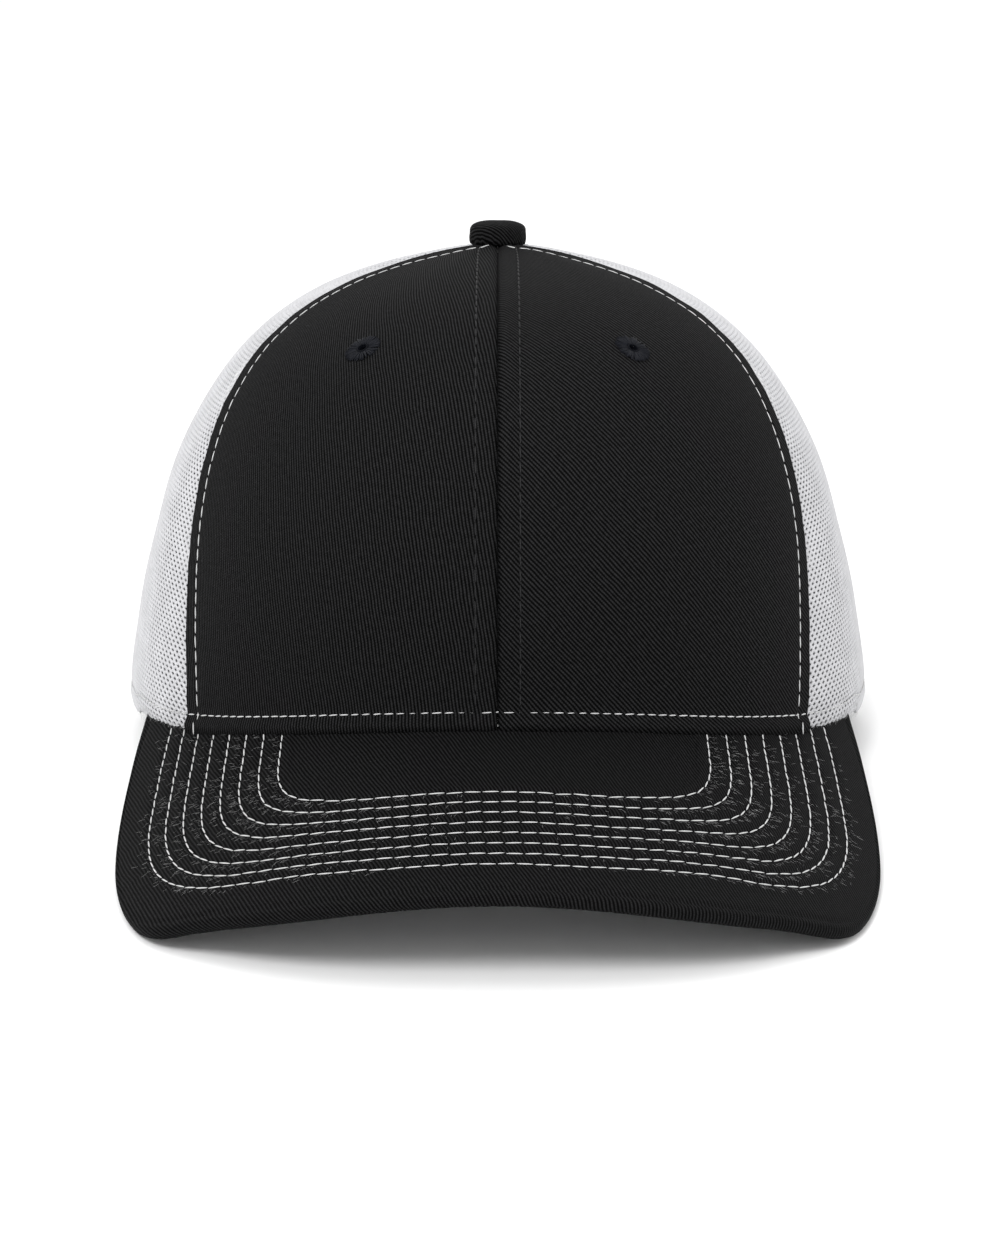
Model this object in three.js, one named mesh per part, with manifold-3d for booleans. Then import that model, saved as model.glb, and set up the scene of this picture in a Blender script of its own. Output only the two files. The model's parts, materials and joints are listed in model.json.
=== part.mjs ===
// A six-panel mesh-back cap: two stiffened twill front panels, four mesh panels,
// a curved visor, a covered button, embroidered eyelets, seam tapes, a sweatband
// and a two-part plastic snap closure across the rear opening.
//
// Units are millimetres. The cap is drawn in its own frame, with +Z up through the
// button, -Y towards the visor and the origin in the plane of the rear hem. The whole
// cap is then tipped so that it stands on the visor's two corners and the rear strap.
// "left" is the -X side.

import * as THREE from 'three';
import { mergeVertices } from 'three/addons/utils/BufferGeometryUtils.js';
import Module from 'manifold-3d';

const wasm = await Module();
wasm.setup();

// ---------------------------------------------------------------- driving dimensions

// Crown
const CROWN_HALF_WIDTH = 88.6;
const CROWN_FRONT = 101.6;
const CROWN_REAR = 98.3;
const CROWN_HEIGHT = 107.2;
const APEX_RADIUS = 4.6;
const CROWN_RISE = [0, 0.716, 0.929, 1];
const SIDE_PROFILE = [1, 0.878, 0.705, 0];
const FRONT_PROFILE = [1, 0.956, 0.909, 0];
const REAR_PROFILE = [1, 1.02, 0.88, 0];
const PLAN_POWER = 1.967;
const PLAN_SWELL = 0.128;
const HEM_TUCK = 0.72;
const HEM_TUCK_HEIGHT = 14;
const FRONT_SEAM_BASE = 47.9;
const FRONT_SEAM_TOP = 70.2;
const REAR_SEAM_BASE = 116;
const REAR_SEAM_TOP = 122;
const SEAM_GAP = 0.4;

// Layers of the crown, measured inwards from its outer surface
const PANEL = [0, 0.8];
const BUCKRAM = [1.4, 1.9];
const TAPE = [1.4, 1.9];
const PADDING = [2.5, 3.1];
const BAND = [3.6, 4.4];
const LABEL = [0.5, 1];
const LABEL_ANGLES = [86, 106];
const LABEL_HEIGHTS = [9, 25];
const TAPE_WIDTH = 12;
const BUCKRAM_INSET = 7;

// Sweatband
const BAND_HEIGHT = 32;
const BAND_END = 148;
const BAND_REAR_STEP = 2.8;
const PADDING_END = 100;

// Rear opening and its binding
const ARCH_HALF_ANGLE = 30.3;
const ARCH_HEIGHT = 55;
const ARCH_POWER = 2.2;
const BINDING_WIDTH = 9;
const BINDING_CLOTH = 0.55;
const BINDING_GAP = 0.45;

// Visor
const VISOR_RADIUS = 136.5;
const VISOR_TILT = THREE.MathUtils.degToRad(15.2);
const VISOR_RISE = 12.1;
const VISOR_HALF_WIDTH = 87.6;
const VISOR_CENTRE = -24.7;
const VISOR_REACH = 91.7;
const VISOR_REAR_REACH = 110;
const VISOR_POWER = 2.87;
// The front corners stand out: how far, how far from the middle and how widely
const VISOR_CORNER = [7.1, 77.5, 12.1];
const VISOR_TIP_ANGLE = 101.1;
const VISOR_INNER_TIP = 61;
const VISOR_TUCK = 2.4;
const VISOR_HEM_GAP = 1.2;
const HEM_LEAVES_VISOR = 67;
const VISOR_TOP = [-0.6, 0];
const VISOR_BOARD = [-2.2, -1.05];
const BOARD_INSET = 3.2;
const VISOR_UNDER = 3.2;
const VISOR_CLOTH = 0.6;
const VISOR_EDGE_RADIUS = 1.6;

// Snap closure: two concentric strips bent to the same curve
const STRAP_CENTRE_Y = 19.5;
const STRAP_HEIGHT = 18;
const HOLE_TAB = [74.9, 76.2];
const PEG_TAB = [73.1, 74.4];
const STRAP_HINGE = 35.8;
const STRAP_ROOT_START = 36.3;
const STRAP_ROOT_END = 49;
const STRAP_TIP = 19.2;
const STRAP_TIP_RADIUS = 7;
const SNAP_PITCH = 7.2;
const SNAP_COUNT = 7;
const SNAP_FIRST = -2;
const HOLE_RADIUS = 2.4;
const PEG_RADIUS = 1.5;
const PEG_REACH = 2.1;

// Button and eyelets
const BUTTON_RADIUS = 6.6;
const BUTTON_TOP = 5.3;
const WASHER_RADIUS = 8;
const EYELET_ANGLE = 24.5;
const EYELET_HEIGHT = 89;
const EYELET_RADIUS = 3.8;
const EYELET_HOLE = 1.2;
const EYELET_CLEARANCE = 2.7;

// How far the resting edges are flattened by the table
const REST_FLAT = 0.25;

// ---------------------------------------------------------------- materials

function material(color, roughness, metalness = 0) {
  return new THREE.MeshStandardMaterial({ color, roughness, metalness });
}

const twill = () => material(0x191919, 0.9);
const whiteMesh = () => material(0xd6d6d8, 0.85);
const whiteTape = () => material(0xdcdcdc, 0.85);
const blackTape = () => material(0x1b1b1c, 0.9);
const bandCloth = () => material(0xc8c8c9, 0.9);
const backing = () => material(0xc9c7c0, 0.95);
const board = () => material(0x2b2b2d, 0.6);
const plastic = () => material(0x141415, 0.45);
const steel = () => material(0xb4b6b8, 0.4, 0.9);
const thread = () => material(0x15161a, 0.8);

// ---------------------------------------------------------------- small helpers

const { degToRad, lerp, clamp, smoothstep } = THREE.MathUtils;

function bezier(t, a, b, c, d) {
  const s = 1 - t;
  return s * s * s * a + 3 * s * s * t * b + 3 * s * t * t * c + t * t * t * d;
}

// Finds where a rising function of 0..1 reaches a value.
function solve(rising, value) {
  let low = 0;
  let high = 1;
  for (let step = 0; step < 40; step += 1) {
    const middle = (low + high) / 2;
    if (rising(middle) < value) {
      low = middle;
    } else {
      high = middle;
    }
  }
  return (low + high) / 2;
}

function signedVolume(geometry) {
  const position = geometry.attributes.position;
  const index = geometry.index;
  const a = new THREE.Vector3();
  const b = new THREE.Vector3();
  const c = new THREE.Vector3();
  let volume = 0;
  for (let i = 0; i < index.count; i += 3) {
    a.fromBufferAttribute(position, index.getX(i));
    b.fromBufferAttribute(position, index.getX(i + 1));
    c.fromBufferAttribute(position, index.getX(i + 2));
    volume += a.dot(b.cross(c)) / 6;
  }
  return volume;
}

// Merges a closed geometry's shared corners and turns its faces outwards.
function sewn(geometry) {
  geometry.deleteAttribute('normal');
  geometry.deleteAttribute('uv');
  const closed = mergeVertices(geometry, 1e-3);
  if (signedVolume(closed) < 0) {
    const index = closed.index;
    for (let i = 0; i < index.count; i += 3) {
      const first = index.getX(i);
      index.setX(i, index.getX(i + 1));
      index.setX(i + 1, first);
    }
  }
  closed.computeVertexNormals();
  return closed;
}

// Moves every corner of a flat geometry to its place on a curved surface.
function bent(geometry, place) {
  const position = geometry.attributes.position;
  for (let i = 0; i < position.count; i += 1) {
    const p = place(position.getX(i), position.getY(i), position.getZ(i));
    position.setXYZ(i, p.x, p.y, p.z);
  }
  return sewn(geometry);
}

// A curved sheet of real thickness. place(u, v, w) gets three numbers from 0 to 1.
function sheet(columns, rows, place) {
  const box = new THREE.BoxGeometry(1, 1, 1, columns, rows, 1);
  return bent(box, (x, y, z) => place(x + 0.5, y + 0.5, z + 0.5));
}

function mirrored(geometry) {
  const copy = geometry.clone();
  copy.scale(-1, 1, 1);
  return sewn(copy);
}

function toSolid(geometry) {
  const vertProperties = new Float32Array(geometry.attributes.position.array);
  const triVerts = new Uint32Array(geometry.index.array);
  return new wasm.Manifold(new wasm.Mesh({ numProp: 3, vertProperties, triVerts }));
}

function fromSolid(solid) {
  const mesh = solid.getMesh();
  const geometry = new THREE.BufferGeometry();
  const corners = new Float32Array(mesh.vertProperties);
  geometry.setAttribute('position', new THREE.BufferAttribute(corners, 3));
  geometry.setIndex(new THREE.BufferAttribute(new Uint32Array(mesh.triVerts), 1));
  geometry.computeVertexNormals();
  return geometry;
}

function cut(geometry, tools) {
  return fromSolid(tools.reduce((body, tool) => body.subtract(toSolid(tool)), toSolid(geometry)));
}

function joined(geometry, extras) {
  return fromSolid(extras.reduce((body, extra) => body.add(toSolid(extra)), toSolid(geometry)));
}

// A round bar centred on a point and lying along a direction.
function bar(radius, length, centre, direction, sides = 16) {
  const cylinder = new THREE.CylinderGeometry(radius, radius, length, sides);
  const turn = new THREE.Quaternion();
  turn.setFromUnitVectors(new THREE.Vector3(0, 1, 0), direction);
  cylinder.applyQuaternion(turn);
  cylinder.translate(centre.x, centre.y, centre.z);
  return sewn(cylinder);
}

const group = new THREE.Group();
const cap = new THREE.Group();
group.add(cap);

function add(name, geometry, finish, parent = cap) {
  const mesh = new THREE.Mesh(geometry, finish);
  mesh.name = name;
  parent.add(mesh);
  return mesh;
}

// ---------------------------------------------------------------- crown surface

// angle is in degrees round from the front centre, positive towards +X.
// t runs from 0 at the hem to 1 under the button.
// Each level is an oval whose side, front and rear reaches follow their own profiles.
// It swells towards a square part of the way up, and its sides tuck in at the hem.
function crownRadius(angle, t) {
  const side = CROWN_HALF_WIDTH * bezier(t, ...SIDE_PROFILE);
  const front = CROWN_FRONT * bezier(t, ...FRONT_PROFILE);
  const rear = CROWN_REAR * bezier(t, ...REAR_PROFILE);
  const sine = Math.sin(degToRad(angle));
  const cosine = Math.cos(degToRad(angle));
  const power = PLAN_POWER + PLAN_SWELL * Math.sin(Math.PI * clamp(1.3 * t, 0, 1));
  const reach = cosine > 0 ? front : rear;
  const across = Math.abs(sine / side) ** power;
  const along = Math.abs(cosine / reach) ** power;
  const tuck = HEM_TUCK * clamp(1 - crownHeight(t) / HEM_TUCK_HEIGHT, 0, 1) ** 2;
  return (across + along) ** (-1 / power) - tuck * clamp(1.6 * sine * sine - 0.3, 0, 1);
}

function crownHeight(t) {
  return CROWN_HEIGHT * bezier(t, ...CROWN_RISE);
}

function crownOuter(angle, t) {
  const radius = crownRadius(angle, t);
  const turn = degToRad(angle);
  return new THREE.Vector3(radius * Math.sin(turn), -radius * Math.cos(turn), crownHeight(t));
}

function crownNormal(angle, t) {
  const low = Math.max(t - 0.004, 0);
  const along = crownOuter(angle + 0.4, t).sub(crownOuter(angle - 0.4, t));
  const up = crownOuter(angle, t + 0.004).sub(crownOuter(angle, low));
  return along.cross(up).normalize();
}

// A point a given depth inside the crown's outer surface.
function crownPoint(angle, t, depth) {
  return crownOuter(angle, t).addScaledVector(crownNormal(angle, t), -depth);
}

const atHeight = (height) => solve(crownHeight, height);
const atRadius = (angle, radius) => solve((t) => -crownRadius(angle, t), -radius);

const frontSeam = (t) => lerp(FRONT_SEAM_BASE, FRONT_SEAM_TOP, t);
const rearSeam = (t) => lerp(REAR_SEAM_BASE, REAR_SEAM_TOP, t);

// The angle that a distance along the cloth turns through.
function arc(distance, angle, t) {
  return THREE.MathUtils.radToDeg(distance / crownRadius(angle, t));
}

// ---------------------------------------------------------------- visor surface

// The visor is a flat pattern rolled on a cylinder: s runs forwards and w sideways.
function visorPoint(s, w, height) {
  const turn = w / VISOR_RADIUS;
  const lift = (VISOR_RADIUS + height) * Math.cos(turn) - VISOR_RADIUS;
  const tilt = VISOR_TILT;
  return new THREE.Vector3(
    (VISOR_RADIUS + height) * Math.sin(turn),
    -CROWN_FRONT - s * Math.cos(tilt) - lift * Math.sin(tilt),
    VISOR_RISE - s * Math.sin(tilt) + lift * Math.cos(tilt),
  );
}

// The flat pattern place that lies straight under a point of the crown.
function visorPlace(x, y) {
  const turn = Math.asin(clamp(x / VISOR_RADIUS, -0.95, 0.95));
  const drop = VISOR_RADIUS * (1 - Math.cos(turn));
  const s = (-CROWN_FRONT - y + drop * Math.sin(VISOR_TILT)) / Math.cos(VISOR_TILT);
  return new THREE.Vector2(s, VISOR_RADIUS * turn);
}

function visorOutline(degrees) {
  const sine = Math.sin(degToRad(degrees));
  const cosine = Math.cos(degToRad(degrees));
  const reach = cosine > 0 ? VISOR_REACH : VISOR_REAR_REACH;
  const power = 2 / VISOR_POWER;
  const across = VISOR_HALF_WIDTH * Math.sign(sine) * Math.abs(sine) ** power;
  const [push, middle, width] = VISOR_CORNER;
  const corner = push * Math.exp(-(((Math.abs(across) - middle) / width) ** 2)) * smoothstep(cosine, 0, 0.3);
  const along = VISOR_CENTRE + reach * Math.sign(cosine) * Math.abs(cosine) ** power;
  return new THREE.Vector2(along + corner, across);
}

function visorInner(angle) {
  const edge = crownPoint(angle, 0, VISOR_TUCK);
  return visorPlace(edge.x, edge.y);
}

// across runs from -1 to 1 between the tips. from and to are the insets at the
// crown and at the outer edge.
function visorRay(across, from, to) {
  const inner = visorInner(across * VISOR_INNER_TIP);
  const outer = visorOutline(across * VISOR_TIP_ANGLE);
  const ray = outer.clone().sub(inner);
  const length = ray.length();
  const start = Math.min(from, length * 0.35);
  const end = length - Math.min(to, length * 0.35);
  return { inner, ray: ray.normalize(), start, end };
}

// ---------------------------------------------------------------- hem line

function visorHeightUnder(angle) {
  const edge = crownOuter(angle, 0);
  const place = visorPlace(edge.x, edge.y);
  return visorPoint(place.x, place.y, 0).z + VISOR_HEM_GAP;
}

// The hem rides over the visor in front, lies in one plane round the sides and
// rises over the half-moon opening at the rear.
function hem(angle) {
  const size = Math.abs(angle);
  const overVisor = Math.max(visorHeightUnder(Math.min(size, HEM_LEAVES_VISOR)), 0);
  return overVisor * (1 - smoothstep(size, HEM_LEAVES_VISOR, HEM_LEAVES_VISOR + 6)) + archHeight(size);
}

function archHeight(angle) {
  const away = Math.abs(180 - angle) / ARCH_HALF_ANGLE;
  return away >= 1 ? 0 : ARCH_HEIGHT * (1 - away ** ARCH_POWER) ** (1 / ARCH_POWER);
}

// ---------------------------------------------------------------- crown pieces

// A panel fills the cloth between two seams, from the hem to the ring under the button.
function panel(columns, rows, from, to, layer, inset = 0, spread = (u) => u) {
  const gap = inset + SEAM_GAP / 2;
  const angleAt = (u, t) => {
    const start = from(t) + arc(gap, from(t), t);
    const end = to(t) - arc(gap, to(t), t);
    return lerp(start, end, spread(u));
  };
  return sheet(columns, rows, (u, v, w) => {
    const topAngle = angleAt(u, 0.97);
    const top = atRadius(topAngle, APEX_RADIUS + inset);
    const bottom = solve((t) => crownHeight(t) - hem(angleAt(u, t)), inset * 0.2);
    const t = lerp(bottom, top, v);
    return crownPoint(angleAt(u, t), t, lerp(layer[0], layer[1], w));
  });
}

const centreFront = () => 0;
const centreRear = () => 180;

function frontPanels() {
  const place = crownPoint(EYELET_ANGLE, atHeight(EYELET_HEIGHT), 0);
  const axis = crownNormal(EYELET_ANGLE, atHeight(EYELET_HEIGHT));
  const punch = bar(EYELET_CLEARANCE, 12, place, axis);
  const face = cut(panel(8, 15, centreFront, frontSeam, PANEL), [punch]);
  const stiffener = cut(panel(7, 13, centreFront, frontSeam, BUCKRAM, BUCKRAM_INSET), [punch]);
  add('front_panel_right', face, twill());
  add('front_panel_left', mirrored(face), twill());
  add('buckram_right', stiffener, backing());
  add('buckram_left', mirrored(stiffener), backing());
}

// Columns gather towards the foot of the opening, where the edge climbs steeply.
function rearSpread(u) {
  const foot = (180 - ARCH_HALF_ANGLE - REAR_SEAM_BASE) / (180 - REAR_SEAM_BASE);
  const plain = 0.4;
  if (u <= plain) {
    return (foot * u) / plain;
  }
  return 1 - (1 - foot) * Math.cos((Math.PI / 2) * ((u - plain) / (1 - plain)));
}

function meshPanels() {
  const side = panel(9, 15, frontSeam, rearSeam, PANEL);
  const rear = panel(12, 14, rearSeam, centreRear, PANEL, 0, rearSpread);
  add('side_mesh_right', side, whiteMesh());
  add('side_mesh_left', mirrored(side), whiteMesh());
  add('rear_mesh_right', rear, whiteMesh());
  add('rear_mesh_left', mirrored(rear), whiteMesh());
}

// A tape covers a seam on the inside, from just above the hem to near the button.
function tape(seam, bottom) {
  const low = atHeight(bottom);
  const high = atRadius(seam(1), APEX_RADIUS + 7);
  return sheet(2, 15, (u, v, w) => {
    const t = lerp(low, high, v);
    const angle = seam(t);
    const narrow = lerp(1, 0.55, smoothstep(v, 0.75, 1));
    const offset = arc((u - 0.5) * TAPE_WIDTH * narrow, angle, t);
    return crownPoint(angle + offset, t, lerp(TAPE[0], TAPE[1], w));
  });
}

function seamTapes() {
  const frontSide = tape(frontSeam, hem(FRONT_SEAM_BASE) + 5);
  const sideRear = tape(rearSeam, 2);
  add('front_centre_tape', tape(centreFront, hem(0) + 2), blackTape());
  add('front_side_tape_right', frontSide, whiteTape());
  add('front_side_tape_left', mirrored(frontSide), whiteTape());
  add('side_rear_tape_right', sideRear, whiteTape());
  add('side_rear_tape_left', mirrored(sideRear), whiteTape());
  add('rear_centre_tape', tape(centreRear, ARCH_HEIGHT + BINDING_WIDTH + 2), whiteTape());
}

// The binding is a strip folded over the edge of the opening, from foot to foot.
function archBinding() {
  const inner = PANEL[1] + BINDING_GAP;
  const near = -BINDING_GAP;
  const section = new THREE.Shape([
    new THREE.Vector2(BINDING_WIDTH, near - BINDING_CLOTH),
    new THREE.Vector2(near - BINDING_CLOTH, near - BINDING_CLOTH),
    new THREE.Vector2(near - BINDING_CLOTH, inner + BINDING_CLOTH),
    new THREE.Vector2(BINDING_WIDTH, inner + BINDING_CLOTH),
    new THREE.Vector2(BINDING_WIDTH, inner),
    new THREE.Vector2(near, inner),
    new THREE.Vector2(near, near),
    new THREE.Vector2(BINDING_WIDTH, near),
  ]);
  const strip = new THREE.ExtrudeGeometry(section, { depth: 1, steps: 30, bevelEnabled: false });
  const millimetres = degToRad(1) * CROWN_REAR;
  const halfSpan = ARCH_HALF_ANGLE * millimetres;
  const edge = (turn) => {
    const sine = Math.sin(turn);
    const cosine = Math.cos(turn);
    const x = -halfSpan * Math.sign(cosine) * Math.abs(cosine) ** (2 / ARCH_POWER);
    return new THREE.Vector2(x, ARCH_HEIGHT * Math.abs(sine) ** (2 / ARCH_POWER));
  };
  return bent(strip, (away, depth, along) => {
    const turn = Math.PI * along;
    const here = edge(turn);
    const ahead = edge(Math.min(turn + 0.01, Math.PI)).sub(edge(Math.max(turn - 0.01, 0))).normalize();
    const x = here.x - ahead.y * away;
    const height = Math.max(here.y + ahead.x * away, 0);
    return crownPoint(180 - x / millimetres, atHeight(height), depth);
  });
}

// ---------------------------------------------------------------- sweatband

function bandStrip(columns, end, layer, low, high) {
  return sheet(columns, 2, (u, v, w) => {
    const angle = lerp(-end, end, u);
    const size = Math.abs(angle);
    const floor = size > 90 ? 0 : hem(size);
    const step = BAND_REAR_STEP * smoothstep(size, 118, 132);
    const t = atHeight(floor + lerp(low, high, v));
    return crownPoint(angle, t, step + lerp(layer[0], layer[1], w));
  });
}

function sweatbandPieces() {
  add('sweatband', bandStrip(48, BAND_END, BAND, 1, BAND_HEIGHT), bandCloth());
  add('sweatband_padding', bandStrip(34, PADDING_END, PADDING, 3, BAND_HEIGHT - 4), backing());
  const label = sheet(4, 2, (u, v, w) => {
    const depth = BAND[1] + lerp(LABEL[0], LABEL[1], w);
    return crownPoint(lerp(...LABEL_ANGLES, u), atHeight(lerp(...LABEL_HEIGHTS, v)), depth);
  });
  add('inner_label', label, whiteTape());
}

// ---------------------------------------------------------------- visor

function visorSheet(columns, rows, from, to, layer) {
  return sheet(columns, rows, (u, v, w) => {
    const path = visorRay(2 * u - 1, from, to);
    const place = path.inner.addScaledVector(path.ray, lerp(path.start, path.end, v));
    return visorPoint(place.x, place.y, lerp(layer[0], layer[1], w));
  });
}

// The under cover runs out flat and then turns up round the visor's edge.
function visorUnder() {
  const plain = 4;
  const turned = 4;
  return sheet(26, plain + turned, (u, v, w) => {
    const path = visorRay(2 * u - 1, 0, 0.3);
    const radius = Math.min(VISOR_EDGE_RADIUS, (path.end - path.start) * 0.6);
    const row = v * (plain + turned);
    const curve = clamp((row - plain) / (turned - 1), 0, 1) * (Math.PI / 2);
    const rise = Math.max(row - plain - turned + 1, 0) * (VISOR_UNDER - radius - 0.95);
    const out = lerp(path.start, path.end - radius, Math.min(row / plain, 1));
    const size = radius - VISOR_CLOTH * w;
    const place = path.inner.addScaledVector(path.ray, out + size * Math.sin(curve));
    return visorPoint(place.x, place.y, radius - VISOR_UNDER - size * Math.cos(curve) + rise);
  });
}

function visorPieces() {
  add('visor_cover_top', visorSheet(26, 5, 0, 0, VISOR_TOP), twill());
  add('visor_board', visorSheet(26, 4, 2, BOARD_INSET, VISOR_BOARD), board());
  return add('visor_cover_under', visorUnder(), twill());
}

// ---------------------------------------------------------------- snap closure

// degrees are measured round the strap's curve from the rear centre, positive to +X.
function strapPoint(degrees, radius, height) {
  const turn = degToRad(degrees);
  return new THREE.Vector3(
    radius * Math.sin(turn),
    STRAP_CENTRE_Y + radius * Math.cos(turn),
    height,
  );
}

function strapStrip(columns, start, end, layer, tip) {
  const middle = STRAP_HEIGHT / 2;
  const tipRadius = STRAP_TIP_RADIUS;
  return sheet(columns, 1, (u, v, w) => {
    const near = 1 - (1 - u) ** 1.5;
    const degrees = lerp(start, end, tip ? near : u);
    const left = degToRad(Math.abs(end - degrees)) * layer[0];
    const past = tip ? clamp(1 - left / tipRadius, 0, 0.96) : 0;
    const corner = tipRadius * (1 - Math.sqrt(1 - past * past));
    const half = middle - corner;
    return strapPoint(degrees, lerp(layer[0], layer[1], w), middle + (2 * v - 1) * half);
  });
}

function snapPlaces(side) {
  return Array.from({ length: SNAP_COUNT }, (_, i) => side * SNAP_PITCH * (i + SNAP_FIRST));
}

function snapBars(side, radius, from, to) {
  return snapPlaces(side).map((degrees) => {
    const centre = strapPoint(degrees, (from + to) / 2, STRAP_HEIGHT / 2);
    const direction = strapPoint(degrees, 1, 0).sub(strapPoint(degrees, 0, 0));
    return bar(radius, to - from, centre, direction, 10);
  });
}

// The strip with holes is sewn in on the left and lies outside; the strip with pegs
// comes from the right. Each one swings about the line where its stitching ends.
function snapTabs() {
  const holes = snapBars(-1, HOLE_RADIUS, HOLE_TAB[0] - 1, HOLE_TAB[1] + 1);
  const pegs = snapBars(1, PEG_RADIUS, PEG_TAB[1] - 0.6, PEG_TAB[1] + PEG_REACH);
  const holeStrip = strapStrip(20, -STRAP_HINGE, STRAP_TIP, HOLE_TAB, true);
  const pegStrip = strapStrip(20, STRAP_HINGE, -STRAP_TIP, PEG_TAB, true);
  const holeRoot = strapStrip(5, -STRAP_ROOT_END, -STRAP_ROOT_START, HOLE_TAB, false);
  const pegRoot = strapStrip(5, STRAP_ROOT_START, STRAP_ROOT_END, PEG_TAB, false);
  add('hole_tab_root', holeRoot, plastic());
  add('peg_tab_root', pegRoot, plastic());
  const pegTab = add('peg_tab', joined(pegStrip, pegs), plastic());
  const holeTab = add('hole_tab', cut(holeStrip, holes), plastic());
  return [holeTab, pegTab];
}

// ---------------------------------------------------------------- button and eyelets

// A closed profile of [radius, height] points turned round the Y axis.
function turned(points, segments = 20) {
  const profile = points.map(([radius, height]) => new THREE.Vector2(radius, height));
  return sewn(new THREE.LatheGeometry(profile, segments));
}

function upright(geometry) {
  return geometry.rotateX(Math.PI / 2);
}

function buttonPieces() {
  const top = CROWN_HEIGHT;
  const shell = turned([
    [0, top + 0.5],
    [4.4, top + 0.45],
    [BUTTON_RADIUS - 0.3, top - 0.1],
    [BUTTON_RADIUS, top + 0.6],
    [BUTTON_RADIUS - 0.1, top + 2.2],
    [BUTTON_RADIUS - 1, top + 3.9],
    [BUTTON_RADIUS - 3, top + 5],
    [0, top + BUTTON_TOP],
  ]);
  const post = turned([
    [0, top - 3.2],
    [1.8, top - 3.2],
    [1.8, top + 0.15],
    [0, top + 0.15],
  ], 16);
  const washer = turned([
    [0, top - 4.6],
    [WASHER_RADIUS - 0.5, top - 4.6],
    [WASHER_RADIUS, top - 4.2],
    [WASHER_RADIUS, top - 3.8],
    [0, top - 3.5],
  ]);
  add('button_shell', upright(shell), twill());
  add('button_post', upright(post), steel());
  add('button_washer', upright(washer), steel());
}

// A stitched ring: a sleeve through the cloth with a flat collar of thread outside.
function eyelets() {
  const t = atHeight(EYELET_HEIGHT);
  const collar = 0.35;
  const ring = turned([
    [EYELET_HOLE, -BUCKRAM[1] - 0.2],
    [EYELET_CLEARANCE - 0.4, -BUCKRAM[1] - 0.2],
    [EYELET_CLEARANCE - 0.4, collar],
    [EYELET_RADIUS, collar],
    [EYELET_RADIUS, collar + 0.4],
    [EYELET_RADIUS - 0.8, collar + 0.8],
    [EYELET_HOLE + 0.4, collar + 0.8],
    [EYELET_HOLE, collar + 0.3],
    [EYELET_HOLE, -BUCKRAM[1] - 0.2],
  ], 16);
  const turn = new THREE.Quaternion();
  turn.setFromUnitVectors(new THREE.Vector3(0, 1, 0), crownNormal(EYELET_ANGLE, t));
  ring.applyQuaternion(turn);
  const place = crownOuter(EYELET_ANGLE, t);
  ring.translate(place.x, place.y, place.z);
  add('eyelet_right', ring, thread());
  add('eyelet_left', mirrored(ring), thread());
}

// ---------------------------------------------------------------- standing on a table

function lowest(meshes) {
  const box = new THREE.Box3();
  cap.updateMatrixWorld(true);
  meshes.forEach((mesh) => box.expandByObject(mesh, true));
  return box.min.z;
}

// Tips the cap until the visor's corners and the strap are equally low, and planes
// those edges where they press on the table.
function stand(front, rear) {
  const difference = (fraction) => {
    cap.rotation.x = -degToRad(10 * fraction);
    return lowest(front) - lowest(rear);
  };
  cap.rotation.x = -degToRad(10 * solve(difference, 0));
  const table = lowest(front) + REST_FLAT;
  const turn = cap.quaternion.clone().invert();
  [...front, ...rear].forEach((mesh) => {
    const slab = new THREE.BoxGeometry(600, 600, 20);
    slab.translate(0, 0, table - 10);
    slab.applyQuaternion(turn);
    mesh.geometry = cut(mesh.geometry, [sewn(slab)]);
  });
  cap.updateMatrixWorld(true);
  const box = new THREE.Box3().setFromObject(group, true);
  const middle = box.getCenter(new THREE.Vector3());
  cap.position.set(-middle.x, -middle.y, -table);
}

frontPanels();
meshPanels();
seamTapes();
add('arch_binding', archBinding(), blackTape());
sweatbandPieces();
const visorBottom = visorPieces();
const tabs = snapTabs();
buttonPieces();
eyelets();
stand([visorBottom], tabs);
group.updateMatrixWorld(true);

export default group;
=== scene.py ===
"""A mesh-back cap: twill front, knitted mesh sides, stitched visor and a snap strap.

Pieces are drawn in the cap's own frame in millimetres (+Z up through the button, -Y
towards the visor, the origin in the plane of the rear hem) and then placed by CAP.
"""

import json
import math
import random
from functools import lru_cache

import bmesh
import bpy
import numpy as np
from mathutils import Matrix, Vector, noise


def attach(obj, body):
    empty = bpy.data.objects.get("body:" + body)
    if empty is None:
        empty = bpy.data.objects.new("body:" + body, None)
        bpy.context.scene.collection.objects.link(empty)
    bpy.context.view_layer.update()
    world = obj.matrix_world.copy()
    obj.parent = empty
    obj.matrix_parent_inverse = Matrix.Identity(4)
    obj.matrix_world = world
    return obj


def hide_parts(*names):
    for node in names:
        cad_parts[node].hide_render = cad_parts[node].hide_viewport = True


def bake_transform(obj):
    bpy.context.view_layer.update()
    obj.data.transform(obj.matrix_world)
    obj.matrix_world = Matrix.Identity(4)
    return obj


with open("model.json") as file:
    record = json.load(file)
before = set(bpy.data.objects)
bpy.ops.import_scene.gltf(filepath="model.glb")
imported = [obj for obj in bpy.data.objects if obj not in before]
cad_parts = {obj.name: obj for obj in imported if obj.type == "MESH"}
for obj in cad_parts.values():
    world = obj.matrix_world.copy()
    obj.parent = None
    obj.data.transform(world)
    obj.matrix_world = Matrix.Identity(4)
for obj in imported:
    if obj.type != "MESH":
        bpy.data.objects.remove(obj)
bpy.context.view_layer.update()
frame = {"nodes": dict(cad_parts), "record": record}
scene = bpy.context.scene
random.seed(7)

# ---------------------------------------------------------------- sizes, in millimetres

MM = 0.001
SIDES = ((1, "right"), (-1, "left"))

CROWN_HALF_WIDTH = 88.6
CROWN_FRONT = 101.6
CROWN_REAR = 98.3
CROWN_HEIGHT = 107.2
APEX_RADIUS = 4.6
FRONT_SEAM = (47.9, 70.2)
REAR_SEAM = (116.0, 122.0)

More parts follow.
